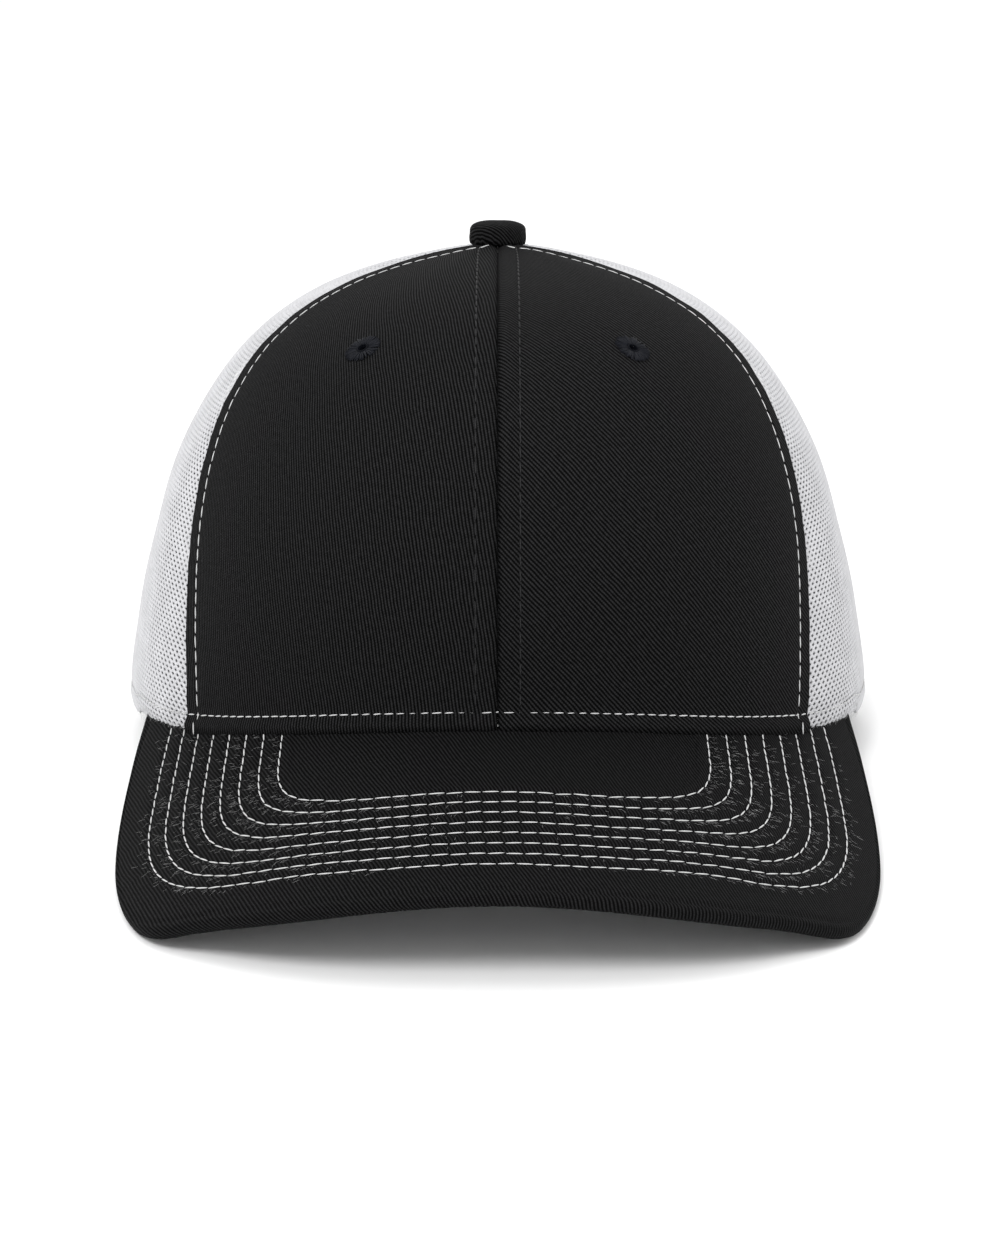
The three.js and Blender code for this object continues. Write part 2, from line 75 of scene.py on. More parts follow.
HEM_OVER_VISOR = -0.4
HEM_LEAVES_VISOR = 67.0
HEM_STITCH = 4.1
SEAM_EDGE = 0.8
SEAM_STITCH = 5.4
CENTRE_STITCH = 4.7
SEAM_PITCH = 3.2
CLOTH = 0.4
PROUD = 0.15
HEM_SWELL = 1.5

MESH_CELL = 2.35
MESH_ROW = 1.02
MESH_LEAN = 0.34
MESH_YARN = 0.40
MESH_ROUND = 0.16
MESH_THICK = 0.5
MESH_DEPTH = 0.15
MESH_TUCK = 2.5

ARCH_HALF_ANGLE = 30.3
ARCH_HEIGHT = 55.0
ARCH_POWER = 2.2
BINDING_WIDTH = 9.0
BINDING_STITCH = 1.6

BAND_HEIGHT = 32.0
BAND_DEPTH = 3.6
BAND_END = 147.0
BAND_FOOT = 1.0
BAND_STITCH = 0.11
TAPE_WIDTH = 12.0
TAPE_DEPTH = 1.4
BUCKRAM_DEPTH = 1.3
BUCKRAM_INSET = 7.0

VISOR_RADIUS = 136.5
VISOR_TILT = math.radians(15.2)
VISOR_RISE = 12.1
VISOR_HALF_WIDTH = 87.6
VISOR_CENTRE = -24.7
VISOR_REACH = 91.7
VISOR_REAR_REACH = 110.0
VISOR_POWER = 2.87
VISOR_CORNER = (7.1, 77.5, 12.1)
VISOR_TIP_ANGLE = 101.1
VISOR_INNER_TIP = 61.0
VISOR_TUCK = 2.4
VISOR_THICK = 3.2
VISOR_EDGE = (1.2, 1.5)
VISOR_CLOTH = 0.55
UNDER_INSET = 0.15
UNDER_ROUND = 1.5

ROW_COUNT = 8
ROW_CENTRE = -8.0
ROW_REACH = (34.2, 4.12)
ROW_WIDTH = {-1: (47.1, 4.38), 1: (45.5, 4.6)}
ROW_POWER = (4.2, -0.18)
ROW_BOW = {-1: 2.0, 1: 3.0}
ROW_PITCH = 3.6

STRAP_CENTRE_Y = 19.5
STRAP_HEIGHT = 18.0
STRAP_ROOT_END = 49.0
STRAP_TIP = 19.2
HOLE_TAB = (74.9, 76.2)
PEG_TAB = (73.1, 74.4)
SNAP_PITCH = 7.2
SNAP_COUNT = 7
SNAP_FIRST = -2
HOLE_RADIUS = 2.35
PEG_RADIUS = 1.45
# How much wider than the peg's radius, and how far above the strip
PEG_PROFILE = [(0.25, -0.3), (0.05, 0.35), (-0.1, 0.7), (-0.1, 1.5), (0.2, 1.8), (0.1, 2.15), (-0.5, 2.4)]

BUTTON_RADIUS = 6.6
BUTTON_TOP = 4.9
BUTTON_SHOULDER = 2.3
# How much wider than the button, and the height above the crown's top
BUTTON_SKIRT = [(0.08, 1.2), (0, 0.2), (-0.2, -0.5), (-0.8, -0.8), (-2.2, -0.5)]
# Radius, and depth under the crown's top
WASHER = [(0, 3.55), (7.4, 3.75), (7.8, 3.95), (7.9, 4.25), (7.5, 4.6), (6.9, 4.5), (3.0, 4.35),
          (2.4, 4.6), (0, 4.7)]
EYELET_ANGLE = 24.5
EYELET_HEIGHT = 88.2
EYELET_RADIUS = 4.2
EYELET_HOLE = 1.15
# Number of threads, their height above the cloth and how uneven their ends are
EYELET_LAYERS = ((64, 0.05, 0.25), (38, 0.2, 0.7))

VIEW_LENS = 91.4
VIEW_DISTANCE = 739.4
VIEW_LIFT = 9.48
VIEW_DROP = 15.5

# In metres and watts: name, place, size and power
LAMPS = (
    ("Key light", (-0.5, -1.1, 1.35), 0.6, 15),
    ("Fill light", (1.2, -1.0, 0.8), 1.0, 3),
    ("Top light", (0, 0.1, 1.6), 1.2, 6),
)
LAMP_TARGET = Vector((0, 0, 0.05))
FLOOR_HALF = 30
SKY_STRENGTH = 1.02


# ---------------------------------------------------------------- the cap's own frame

def cap_matrix():
    """Cap millimetres to the shared frame, from the mount at the head opening."""
    mount = next(m for m in frame["record"]["mounts"] if m["name"] == "head_opening")
    up = -Vector(mount["axis"]).normalized()
    across = Vector((1, 0, 0))
    back = up.cross(across)
    turn = Matrix((across, back, up)).transposed().to_4x4()
    return Matrix.Translation(Vector(mount["pos_m"])) @ turn @ Matrix.Scale(MM, 4)


CAP = cap_matrix()


def lerp(a, b, t):
    return a + (b - a) * t


def clamp(x, low=0.0, high=1.0):
    return max(low, min(high, x))


def smooth(x, low, high):
    t = clamp((x - low) / (high - low))
    return t * t * (3 - 2 * t)


def dip(x, width):
    """A rounded valley, 1 at x = 0."""
    return math.exp(-(x / width) ** 2)


def bezier(t, a, b, c, d):
    s = 1 - t
    return s * s * s * a + 3 * s * s * t * b + 3 * s * t * t * c + t * t * t * d


# ---------------------------------------------------------------- crown surface

def crown_height(t):
    return CROWN_HEIGHT * bezier(t, 0, 0.716, 0.929, 1)


def crown_radius(angle, t):
    """Distance from the cap's axis. angle is in degrees round from the front centre."""
    side = CROWN_HALF_WIDTH * bezier(t, 1, 0.878, 0.705, 0)
    front = CROWN_FRONT * bezier(t, 1, 0.956, 0.909, 0)
    rear = CROWN_REAR * bezier(t, 1, 1.02, 0.88, 0)
    sine = math.sin(math.radians(angle))
    cosine = math.cos(math.radians(angle))
    power = 1.967 + 0.128 * math.sin(math.pi * clamp(1.3 * t))
    reach = front if cosine > 0 else rear
    total = abs(sine / side) ** power + abs(cosine / reach) ** power
    tuck = 0.72 * clamp(1 - crown_height(t) / 14) ** 2
    return total ** (-1 / power) - tuck * clamp(1.6 * sine * sine - 0.3)


def crown_outer(angle, t):
    radius = crown_radius(angle, t)
    turn = math.radians(angle)
    return Vector((radius * math.sin(turn), -radius * math.cos(turn), crown_height(t)))


def crown_normal(angle, t):
    low = max(t - 0.004, 0.0)
    along = crown_outer(angle + 0.4, t) - crown_outer(angle - 0.4, t)
    up = crown_outer(angle, t + 0.004) - crown_outer(angle, low)
    return along.cross(up).normalized()


def crown_point(angle, t, depth):
    """A point a given depth inside the crown's outer surface."""
    return crown_outer(angle, t) - depth * crown_normal(angle, t)


STEPS = np.linspace(0, 0.999, 600)
HEIGHTS = np.array([crown_height(t) for t in STEPS])


def at_height(height):
    return float(np.interp(height, HEIGHTS, STEPS))


ROUND = np.arange(0, 181, 4)


@lru_cache(None)
def narrowing(radius):
    """Where the crown narrows to a radius, for each angle of ROUND."""
    found = []
    for angle in ROUND:
        low, high = 0.0, 0.999
        for _ in range(24):
            middle = (low + high) / 2
            if crown_radius(angle, middle) > radius:
                low = middle
            else:
                high = middle
        found.append((low + high) / 2)
    return found


def at_radius(angle, radius):
    return float(np.interp(abs(angle), ROUND, narrowing(radius)))


def climb(angle):
    """Distance up the cloth from the hem plane at an angle, for each of STEPS."""
    points = [crown_outer(angle, t) for t in STEPS]
    lengths = [(b - a).length for a, b in zip(points, points[1:])]
    return np.concatenate([[0.0], np.cumsum(lengths)])


def arc(distance, angle, t):
    """Degrees that a distance along the cloth turns through."""
    return math.degrees(distance / crown_radius(angle, t))


def front_seam(t):
    return lerp(*FRONT_SEAM, t)


def rear_seam(t):
    return lerp(*REAR_SEAM, t)


# ---------------------------------------------------------------- visor surface

def visor_point(s, w, height):
    """The visor is a flat pattern rolled on a cylinder: s runs forwards, w sideways."""
    turn = w / VISOR_RADIUS
    lift = (VISOR_RADIUS + height) * math.cos(turn) - VISOR_RADIUS
    return Vector((
        (VISOR_RADIUS + height) * math.sin(turn),
        -CROWN_FRONT - s * math.cos(VISOR_TILT) - lift * math.sin(VISOR_TILT),
        VISOR_RISE - s * math.sin(VISOR_TILT) + lift * math.cos(VISOR_TILT),
    ))


def visor_normal(s, w):
    return (visor_point(s, w, 1.0) - visor_point(s, w, 0.0)).normalized()


def visor_place(x, y):
    turn = math.asin(clamp(x / VISOR_RADIUS, -0.95, 0.95))
    drop = VISOR_RADIUS * (1 - math.cos(turn))
    s = (-CROWN_FRONT - y + drop * math.sin(VISOR_TILT)) / math.cos(VISOR_TILT)
    return Vector((s, VISOR_RADIUS * turn))


def visor_outline(degrees):
    sine = math.sin(math.radians(degrees))
    cosine = math.cos(math.radians(degrees))
    reach = VISOR_REACH if cosine > 0 else VISOR_REAR_REACH
    power = 2 / VISOR_POWER
    w = VISOR_HALF_WIDTH * math.copysign(abs(sine) ** power, sine)
    push, middle, width = VISOR_CORNER
    corner = push * dip(abs(w) - middle, width) * smooth(cosine, 0, 0.3)
    return Vector((VISOR_CENTRE + reach * math.copysign(abs(cosine) ** power, cosine) + corner, w))


def visor_ray(across):
    """One line across the visor, from -1 to 1: its crown end, direction and length."""
    edge = crown_point(across * VISOR_INNER_TIP, 0, VISOR_TUCK)
    inner = visor_place(edge.x, edge.y)
    ray = visor_outline(across * VISOR_TIP_ANGLE) - inner
    return inner, ray.normalized(), ray.length


def row_shape(j, side):
    """Half width, reach and squareness of stitch row j, counted from the crown."""
    return tuple(start + step * j for start, step in (ROW_WIDTH[side], ROW_REACH, ROW_POWER))


def row_bow(w):
    """The rows are drawn back a little on either side of the middle."""
    return ROW_BOW[1 if w > 0 else -1] * dip(abs(w) - 42, 18)


def row_point(j, degrees):
    """A place on stitch row j, in a direction measured round from straight ahead."""
    width, reach, power = row_shape(j, 1 if degrees > 0 else -1)
    sine = math.sin(math.radians(degrees))
    cosine = math.cos(math.radians(degrees))
    long = reach if cosine > 0 else VISOR_REAR_REACH
    out = (abs(cosine / long) ** power + abs(sine / width) ** power) ** (-1 / power)
    return Vector((ROW_CENTRE + out * cosine - row_bow(out * sine) * smooth(cosine, 0, 0.4), out * sine))


def row_number(s, w):
    """Which stitch row, as a fraction, a place on the visor lies on."""
    low, high = -6.0, 12.0
    s += row_bow(w) * smooth((s - ROW_CENTRE) / math.hypot(s - ROW_CENTRE, w), 0, 0.4)
    for _ in range(14):
        j = (low + high) / 2
        width, reach, power = row_shape(j, 1 if w > 0 else -1)
        long = reach if s > ROW_CENTRE else VISOR_REAR_REACH
        inside = abs((s - ROW_CENTRE) / long) ** power + abs(w / width) ** power < 1
        low, high = (low, j) if inside else (j, high)
    return (low + high) / 2


# ---------------------------------------------------------------- hem line

def visor_height_under(angle):
    edge = crown_outer(angle, 0)
    place = visor_place(edge.x, edge.y)
    return visor_point(place.x, place.y, 0).z + HEM_OVER_VISOR


def arch_height(angle):
    away = abs(180 - abs(angle)) / ARCH_HALF_ANGLE
    return 0.0 if away >= 1 else ARCH_HEIGHT * (1 - away ** ARCH_POWER) ** (1 / ARCH_POWER)


OVER_VISOR = np.arange(0, HEM_LEAVES_VISOR + 0.1, 0.5)
HEM_HEIGHTS = np.array([max(visor_height_under(angle), 0) for angle in OVER_VISOR])


def low_hem(angle):
    """The hem's height, over the visor in front and in one plane elsewhere."""
    size = abs(angle)
    over = float(np.interp(size, OVER_VISOR, HEM_HEIGHTS))
    return over * (1 - smooth(size, HEM_LEAVES_VISOR, HEM_LEAVES_VISOR + 6))


# ---------------------------------------------------------------- making pieces

def cloth(columns, rows, place, flip=False):
    """A sheet from a grid. place(u, v) gives a point and its place in the pattern."""
    bm = bmesh.new()
    bmesh.ops.create_grid(bm, x_segments=columns, y_segments=rows, size=0.5)
    pattern = bm.loops.layers.uv.new("Pattern")
    for vert in bm.verts:
        vert.co, flat = place(vert.co.x + 0.5, vert.co.y + 0.5)
        for loop in vert.link_loops:
            loop[pattern].uv = flat
    if flip:
        bmesh.ops.reverse_faces(bm, faces=bm.faces)
    return bm


def mirror(bm):
    bmesh.ops.scale(bm, vec=(-1, 1, 1), verts=bm.verts)
    bmesh.ops.reverse_faces(bm, faces=bm.faces)
    pattern = bm.loops.layers.uv.active
    if pattern:
        for face in bm.faces:
            for loop in face.loops:
                loop[pattern].uv.x *= -1
    return bm


def piece(name, bm, finish, body="cap", replaces=(), thick=0):
    """Places a mesh drawn in cap millimetres, gives it a finish and a body.

    It replaces the CAD node of the same name, where there is one, and those in replaces."""
    bmesh.ops.transform(bm, matrix=CAP, verts=bm.verts)
    mesh = bpy.data.meshes.new(name)
    bm.to_mesh(mesh)
    bm.free()
    mesh.shade_smooth()
    mesh.materials.append(finish)
    obj = bpy.data.objects.new(name, mesh)
    scene.collection.objects.link(obj)
    if thick:
        wall = obj.modifiers.new("Thickness", "SOLIDIFY")
        wall.thickness = thick * MM
        wall.offset = -1
    if body:
        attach(obj, body)
    replaced = [name, *replaces] if name in frame["nodes"] else replaces
    if replaced:
        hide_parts(*replaced)
    return obj


def along(path, count=500):
    """Points, normals and distances along a path that maps 0..1 to a point and normal."""
    samples = [path(i / count) for i in range(count + 1)]
    lengths = [(b[0] - a[0]).length for a, b in zip(samples, samples[1:])]
    return samples, np.concatenate([[0.0], np.cumsum(lengths)])


def join(bm, extra):
    """Adds one mesh to another."""
    mesh = bpy.data.meshes.new("part")
    extra.to_mesh(mesh)
    extra.free()
    bm.from_mesh(mesh)
    bpy.data.meshes.remove(mesh)


def bars(bm, places, sides=6, rings=5, batch=16):
    """Adds slim rounded bars, each one a unit ball drawn out by its placing matrix."""
    for first in range(0, len(places), batch):
        some = bmesh.new()
        for place in places[first:first + batch]:
            bmesh.ops.create_uvsphere(some, u_segments=sides, v_segments=rings, radius=1, matrix=place)
        join(bm, some)


def bar_place(start, end, normal, radius, flat=0.9):
    """The placing matrix of a bar from start to end, lying on a surface."""
    tangent = (end - start).normalized()
    side = normal.cross(tangent).normalized()
    turn = Matrix((side, tangent.cross(side), tangent)).transposed().to_4x4()
    size = Matrix.Diagonal((radius, radius * flat, (end - start).length / 2, 1))
    return Matrix.Translation((start + end) / 2) @ turn @ size


def stitches(bm, path, pitch, gap=0.45, radius=0.17, lift=0.06, slant=0.05):
    """Adds a row of thread stitches, each one a slim rounded bar, a little aslant."""
    places = []
    samples, distance = along(path)
    total = distance[-1]
    number = max(1, int(total / pitch))
    spots = np.arange(len(samples))
    for i in range(number):
        middle = (i + 0.5) * total / number
        spot = float(np.interp(middle, distance, spots))
        index = min(int(spot), len(samples) - 2)
        point = samples[index][0].lerp(samples[index + 1][0], spot - index)
        normal = samples[index][1]
        before = samples[max(index - 2, 0)][0]
        after = samples[min(index + 2, len(samples) - 1)][0]
        tangent = (after - before).normalized()
        side = normal.cross(tangent).normalized()
        half = (tangent + side * (slant + random.uniform(-0.04, 0.04))) * (total / number - gap) / 2
        point = point + normal * (lift + random.uniform(-0.03, 0.03))
        places.append(bar_place(point - half, point + half, normal, radius))
    bars(bm, places, 7, 6)


# ---------------------------------------------------------------- shader groups

def new_group(name, inputs, outputs):
    group = bpy.data.node_groups.new(name, "ShaderNodeTree")
    for title, kind, value in inputs:
        socket = group.interface.new_socket(title, in_out="INPUT", socket_type=kind)
        if value is not None:
            socket.default_value = value
    for title, kind in outputs:
        group.interface.new_socket(title, in_out="OUTPUT", socket_type=kind)
    return group, group.nodes.new("NodeGroupInput"), group.nodes.new("NodeGroupOutput")


def maths(tree, operation, a, b=None, c=None, clamped=False):
    node = tree.nodes.new("ShaderNodeMath")
    node.operation = operation
    node.use_clamp = clamped
    for socket, value in zip(node.inputs, (a, b, c)):
        if isinstance(value, (int, float)):
            socket.default_value = value
        elif value is not None:
            tree.links.new(value, socket)
    return node.outputs[0]


def plus(tree, a, b):
    return maths(tree, "ADD", a, b)


def times(tree, a, b):
    return maths(tree, "MULTIPLY", a, b)


def noise_field(tree, vector, scale, detail=2.0, roughness=0.5):
    node = tree.nodes.new("ShaderNodeTexNoise")
    tree.links.new(vector, node.inputs["Vector"])
    if isinstance(scale, float):
        node.inputs["Scale"].default_value = scale
    else:
        tree.links.new(scale, node.inputs["Scale"])
    node.inputs["Detail"].default_value = detail
    node.inputs["Roughness"].default_value = roughness
    return node.outputs["Fac"]


OUTPUTS = [("Height", "NodeSocketFloat"), ("Shade", "NodeSocketFloat")]


def twill_group():
    """Diagonal ribs of a twill, with the float of each yarn and uneven yarns."""
    group, start, end = new_group(
        "Twill weave",
        [("Pattern", "NodeSocketVector", None), ("Rib spacing", "NodeSocketFloat", 0.8),
         ("Lean", "NodeSocketFloat", 1.0)],
        OUTPUTS)
    split = group.nodes.new("ShaderNodeSeparateXYZ")
    group.links.new(start.outputs["Pattern"], split.inputs[0])
    x, y = split.outputs[0], split.outputs[1]
    lean = start.outputs["Lean"]
    cosine = maths(group, "COSINE", lean)
    sine = maths(group, "SINE", lean)
    wander = noise_field(group, start.outputs["Pattern"], 0.07, 3.0)
    across = plus(group, times(group, x, sine), times(group, y, cosine))
    across = plus(group, across, times(group, wander, 1.2))
    down = maths(group, "SUBTRACT", times(group, x, cosine), times(group, y, sine))
    rib = maths(group, "DIVIDE", across, start.outputs["Rib spacing"])
    wave = maths(group, "SINE", times(group, rib, math.tau))
    wave = maths(group, "MULTIPLY_ADD", wave, 0.5, 0.5)
    stagger = times(group, maths(group, "FLOOR", rib), 0.37)
    run = plus(group, maths(group, "DIVIDE", down, 0.55), stagger)
    yarn = maths(group, "ABSOLUTE", maths(group, "SINE", times(group, run, math.pi)))
    fuzz = noise_field(group, start.outputs["Pattern"], 3.5, 3.0, 0.7)
    height = plus(group, times(group, wave, 0.7), times(group, yarn, 0.22))
    height = plus(group, height, times(group, fuzz, 0.35))
    group.links.new(height, end.inputs["Height"])
    slub = noise_field(group, start.outputs["Pattern"], 0.9, 4.0, 0.75)
    shade = times(group, wave, maths(group, "MULTIPLY_ADD", yarn, 0.35, 0.65))
    shade = plus(group, times(group, shade, 0.6), times(group, slub, 0.6))
    group.links.new(shade, end.inputs["Shade"])
    return group


def weave_group():
    """A plain weave: yarns passing over and under each other in a chequer."""
    group, start, end = new_group(
        "Plain weave",
        [("Pattern", "NodeSocketVector", None), ("Yarn width", "NodeSocketFloat", 0.5)],
        OUTPUTS)
    split = group.nodes.new("ShaderNodeSeparateXYZ")
    group.links.new(start.outputs["Pattern"], split.inputs[0])
    turns = []
    for socket in split.outputs[:2]:
        place = maths(group, "DIVIDE", socket, start.outputs["Yarn width"])
        turns.append(maths(group, "SINE", times(group, place, math.pi)))
    chequer = times(group, turns[0], turns[1])
    fuzz = noise_field(group, start.outputs["Pattern"], 4.0, 3.0, 0.7)
    height = plus(group, maths(group, "ABSOLUTE", chequer), times(group, fuzz, 0.4))
    group.links.new(height, end.inputs["Height"])
    slub = noise_field(group, start.outputs["Pattern"], 0.7, 4.0, 0.7)
    shade = plus(group, times(group, height, 0.5), times(group, slub, 0.6))
    group.links.new(shade, end.inputs["Shade"])
    return group


def yarn_group():
    """Twisted yarn or moulded grain, by position, with soft blotches."""
    group, start, end = new_group(
        "Yarn twist",
        [("Place", "NodeSocketVector", None), ("Grain", "NodeSocketFloat", 2500.0)],
        OUTPUTS)
    fine = noise_field(group, start.outputs["Place"], start.outputs["Grain"], 3.0, 0.65)
    group.links.new(fine, end.inputs["Height"])
    broad = noise_field(group, start.outputs["Place"], 160.0, 3.0, 0.6)
    shade = plus(group, times(group, fine, 0.5), times(group, broad, 0.5))
    group.links.new(shade, end.inputs["Shade"])
    return group


TWILL = twill_group()
WEAVE = weave_group()
YARN = yarn_group()


def finish(name, dark, light, group, settings, roughness, bump, distance, sheen=0.0,
           sheen_tint=(1, 1, 1, 1), shade_range=(0.25, 0.95), specular=0.3, metallic=0.0, mapped=True):
    """A material whose colour and bump come from one of the shader groups."""
    material = bpy.data.materials.new(name)
    material.use_nodes = True
    tree = material.node_tree
    shader = tree.nodes["Principled BSDF"]
    pattern = tree.nodes.new("ShaderNodeGroup")
    pattern.node_tree = group
    if mapped:
        source = tree.nodes.new("ShaderNodeUVMap")
        source.uv_map = "Pattern"
        tree.links.new(source.outputs["UV"], pattern.inputs[0])
    else:
        source = tree.nodes.new("ShaderNodeTexCoord")
        tree.links.new(source.outputs["Object"], pattern.inputs[0])
    for title, value in settings.items():
        pattern.inputs[title].default_value = value
    ramp = tree.nodes.new("ShaderNodeValToRGB")
    ramp.color_ramp.elements[0].position = shade_range[0]
    ramp.color_ramp.elements[0].color = (*dark, 1)
    ramp.color_ramp.elements[1].position = shade_range[1]
    ramp.color_ramp.elements[1].color = (*light, 1)
    tree.links.new(pattern.outputs["Shade"], ramp.inputs["Fac"])
    tree.links.new(ramp.outputs["Color"], shader.inputs["Base Color"])
    bumps = tree.nodes.new("ShaderNodeBump")
    bumps.inputs["Strength"].default_value = bump
    bumps.inputs["Distance"].default_value = distance * MM
    tree.links.new(pattern.outputs["Height"], bumps.inputs["Height"])
    tree.links.new(bumps.outputs["Normal"], shader.inputs["Normal"])
    rough = maths(tree, "MULTIPLY_ADD", pattern.outputs["Height"], -0.12, roughness, True)
    tree.links.new(rough, shader.inputs["Roughness"])
    shader.inputs["Specular IOR Level"].default_value = specular
    shader.inputs["Metallic"].default_value = metallic
    shader.inputs["Sheen Weight"].default_value = sheen
    shader.inputs["Sheen Roughness"].default_value = 0.5
    shader.inputs["Sheen Tint"].default_value = sheen_tint
    return material


def grey(value, blue=1.0):
    return (value, value, value * blue)


def black_twill(name, lean, light=0.022):
    return finish(name, grey(0.0002, 1.05), grey(light, 1.04), TWILL,
                  {"Rib spacing": 0.74, "Lean": math.radians(lean)}, 0.85, 0.8, 0.2,
                  shade_range=(0.4, 0.95), specular=0.045)


TWILL_LEFT = black_twill("Black twill, left panel", 81)
TWILL_RIGHT = black_twill("Black twill, right panel", 47)
# The visor uses the front panels' twill painted darker (light end 0.016 against 0.022): painted shade for
# the visor, which faces up and forwards.
TWILL_VISOR_PAINTED_SHADE = black_twill("Black twill, visor, painted shade", 69, 0.016)
TWILL_BUTTON = black_twill("Black twill, button", 40)
MESH_WHITE = finish("White mesh yarn", grey(0.42, 1.03), grey(0.66, 1.03), YARN, {"Grain": 1900.0},
                    0.8, 0.35, 0.12, sheen=0.1, specular=0.25, mapped=False)
THREAD_WHITE = finish("White thread", grey(0.45), grey(0.72), YARN, {"Grain": 3500.0},
                      0.75, 0.5, 0.08, sheen=0.1, specular=0.3, mapped=False)
THREAD_BLACK = finish("Black thread", grey(0.002, 1.1), grey(0.008, 1.15), YARN, {"Grain": 3500.0},
                      0.65, 0.5, 0.08, specular=0.3, mapped=False)
THREAD_EYELET = finish("Black embroidery thread", (0.0015, 0.002, 0.004), (0.007, 0.008, 0.013), YARN,
                       {"Grain": 3200.0}, 0.6, 0.5, 0.08, specular=0.14, mapped=False)
LINT = finish("Lint", grey(0.25), grey(0.6), YARN, {"Grain": 900.0}, 0.9, 0.1, 0.05, mapped=False)
TAPE_BLACK = finish("Black tape", grey(0.003, 1.05), grey(0.014, 1.05), WEAVE, {"Yarn width": 0.45},
                    0.9, 0.5, 0.12, specular=0.1)
TAPE_WHITE = finish("White tape", grey(0.55), grey(0.80), WEAVE, {"Yarn width": 0.45},
                    0.85, 0.5, 0.12, sheen=0.1, specular=0.25)
BAND_CLOTH = finish("Sweatband cloth", grey(0.50, 1.01), grey(0.74, 1.01), WEAVE, {"Yarn width": 0.35},
                    0.9, 0.45, 0.1, sheen=0.15, specular=0.2)
BUCKRAM = finish("Buckram", (0.48, 0.47, 0.44), (0.78, 0.77, 0.73), WEAVE, {"Yarn width": 0.9},
                 0.9, 0.8, 0.25, specular=0.2)
PLASTIC = finish("Moulded plastic", grey(0.004, 1.03), grey(0.009, 1.03), YARN, {"Grain": 5000.0},
                 0.5, 0.12, 0.03, specular=0.5, mapped=False)
BOARD = finish("Visor board plastic", grey(0.02), grey(0.035), YARN, {"Grain": 1500.0},
               0.6, 0.2, 0.05, specular=0.4, mapped=False)
STEEL = finish("Pressed steel", grey(0.45, 1.02), grey(0.66, 1.02), YARN, {"Grain": 2400.0},
               0.42, 0.12, 0.03, specular=0.5, metallic=1.0, mapped=False)


# ---------------------------------------------------------------- front panels

def front_reach(angle, t):
    """Distances on the cloth from the centre seam, the side seam and the hem."""
    middle = abs(angle) / 2
    centre = math.radians(abs(angle)) * crown_radius(middle, t)
    side = math.radians(front_seam(t) - abs(angle)) * crown_radius(front_seam(t), t)
    return centre, side, crown_height(t) - low_hem(angle)


def front_relief(angle, t):
    """How far the twill stands out: seams and stitch lines sink, the hem swells."""
    centre, side, hem = front_reach(angle, t)
    climbed = crown_height(t)
    relief = PROUD
    relief -= 0.75 * dip(centre, 0.8)
    relief -= 0.16 * dip(centre - CENTRE_STITCH, 0.7)
    relief += 0.10 * dip(centre - 2.4, 1.2)
    relief += 0.14 * dip(side - 1.6, 0.8) - 0.3 * dip(side - SEAM_EDGE, 0.35)
    relief -= 0.22 * dip(side - SEAM_STITCH, 0.6)
    relief += HEM_SWELL * dip(max(hem - 0.6, 0), 1.9) - 0.2 * dip(hem - HEM_STITCH, 0.7)
    relief -= 0.7 * dip(hem, 0.4)
    pucker = noise.noise(Vector((climbed * 0.32, angle * 0.08, 3.0)))
    relief += 0.20 * pucker * math.exp(-centre / 7) + 0.20 * pucker * math.exp(-side / 6)
    ripple = noise.noise(Vector((angle * 0.35, climbed * 0.1, 8.0)))
    relief += 0.28 * ripple * math.exp(-abs(hem - 2) / 9)
    broad = noise.noise(Vector((angle * 0.045, climbed * 0.035, 1.0 if angle > 0 else 5.0)))
    return relief + 0.55 * broad * smooth(centre, 0, 12) * smooth(side, 0, 10)


def front_cloth(angle, t):
    return crown_point(angle, t, -front_relief(angle, t))


def pierce(bm, side, radius):
    """Cuts the eyelet's hole."""
    eye = crown_outer(side * EYELET_ANGLE, at_height(EYELET_HEIGHT))
    hole = [f for f in bm.faces if (f.calc_center_median() - eye).length < radius]
    bmesh.ops.delete(bm, geom=hole, context="FACES")


def front_panel(side, name, material):
    heights = climb(24)

    def place(u, v):
        across = u if side > 0 else 1 - u
        spread = lerp(across, 0.5 - 0.5 * math.cos(math.pi * across), 0.35)
        t = 0.0
        for _ in range(3):
            angle = lerp(arc(0.1, 0, t), front_seam(t) - arc(SEAM_EDGE, front_seam(t), t), spread)
            bottom = at_height(low_hem(angle))
            top = at_radius(angle, APEX_RADIUS)
            t = lerp(bottom, top, v)
        ways = side * math.radians(angle) * crown_radius(angle / 2, t)
        return front_cloth(side * angle, t), (ways, float(np.interp(t, STEPS, heights)))

    bm = cloth(72, 110, place)
    pierce(bm, side, EYELET_HOLE + 0.9)
    return piece(name, bm, material, thick=CLOTH)


def buckram(side, name):
    def place(u, v):
        across = u if side > 0 else 1 - u
        t = 0.0
        for _ in range(3):
            end = front_seam(t) - arc(BUCKRAM_INSET, front_seam(t), t)
            angle = lerp(arc(BUCKRAM_INSET, 0, t), end, across)
            t = lerp(at_height(low_hem(angle) + 2), at_radius(angle, APEX_RADIUS + 8), v)
        ways = side * math.radians(angle) * crown_radius(angle, t)
        return crown_point(side * angle, t, BUCKRAM_DEPTH), (ways, crown_height(t))

    bm = cloth(30, 44, place)
    pierce(bm, side, 3.4)
    piece(name, bm, BUCKRAM, thick=0.5)


# ---------------------------------------------------------------- knitted mesh

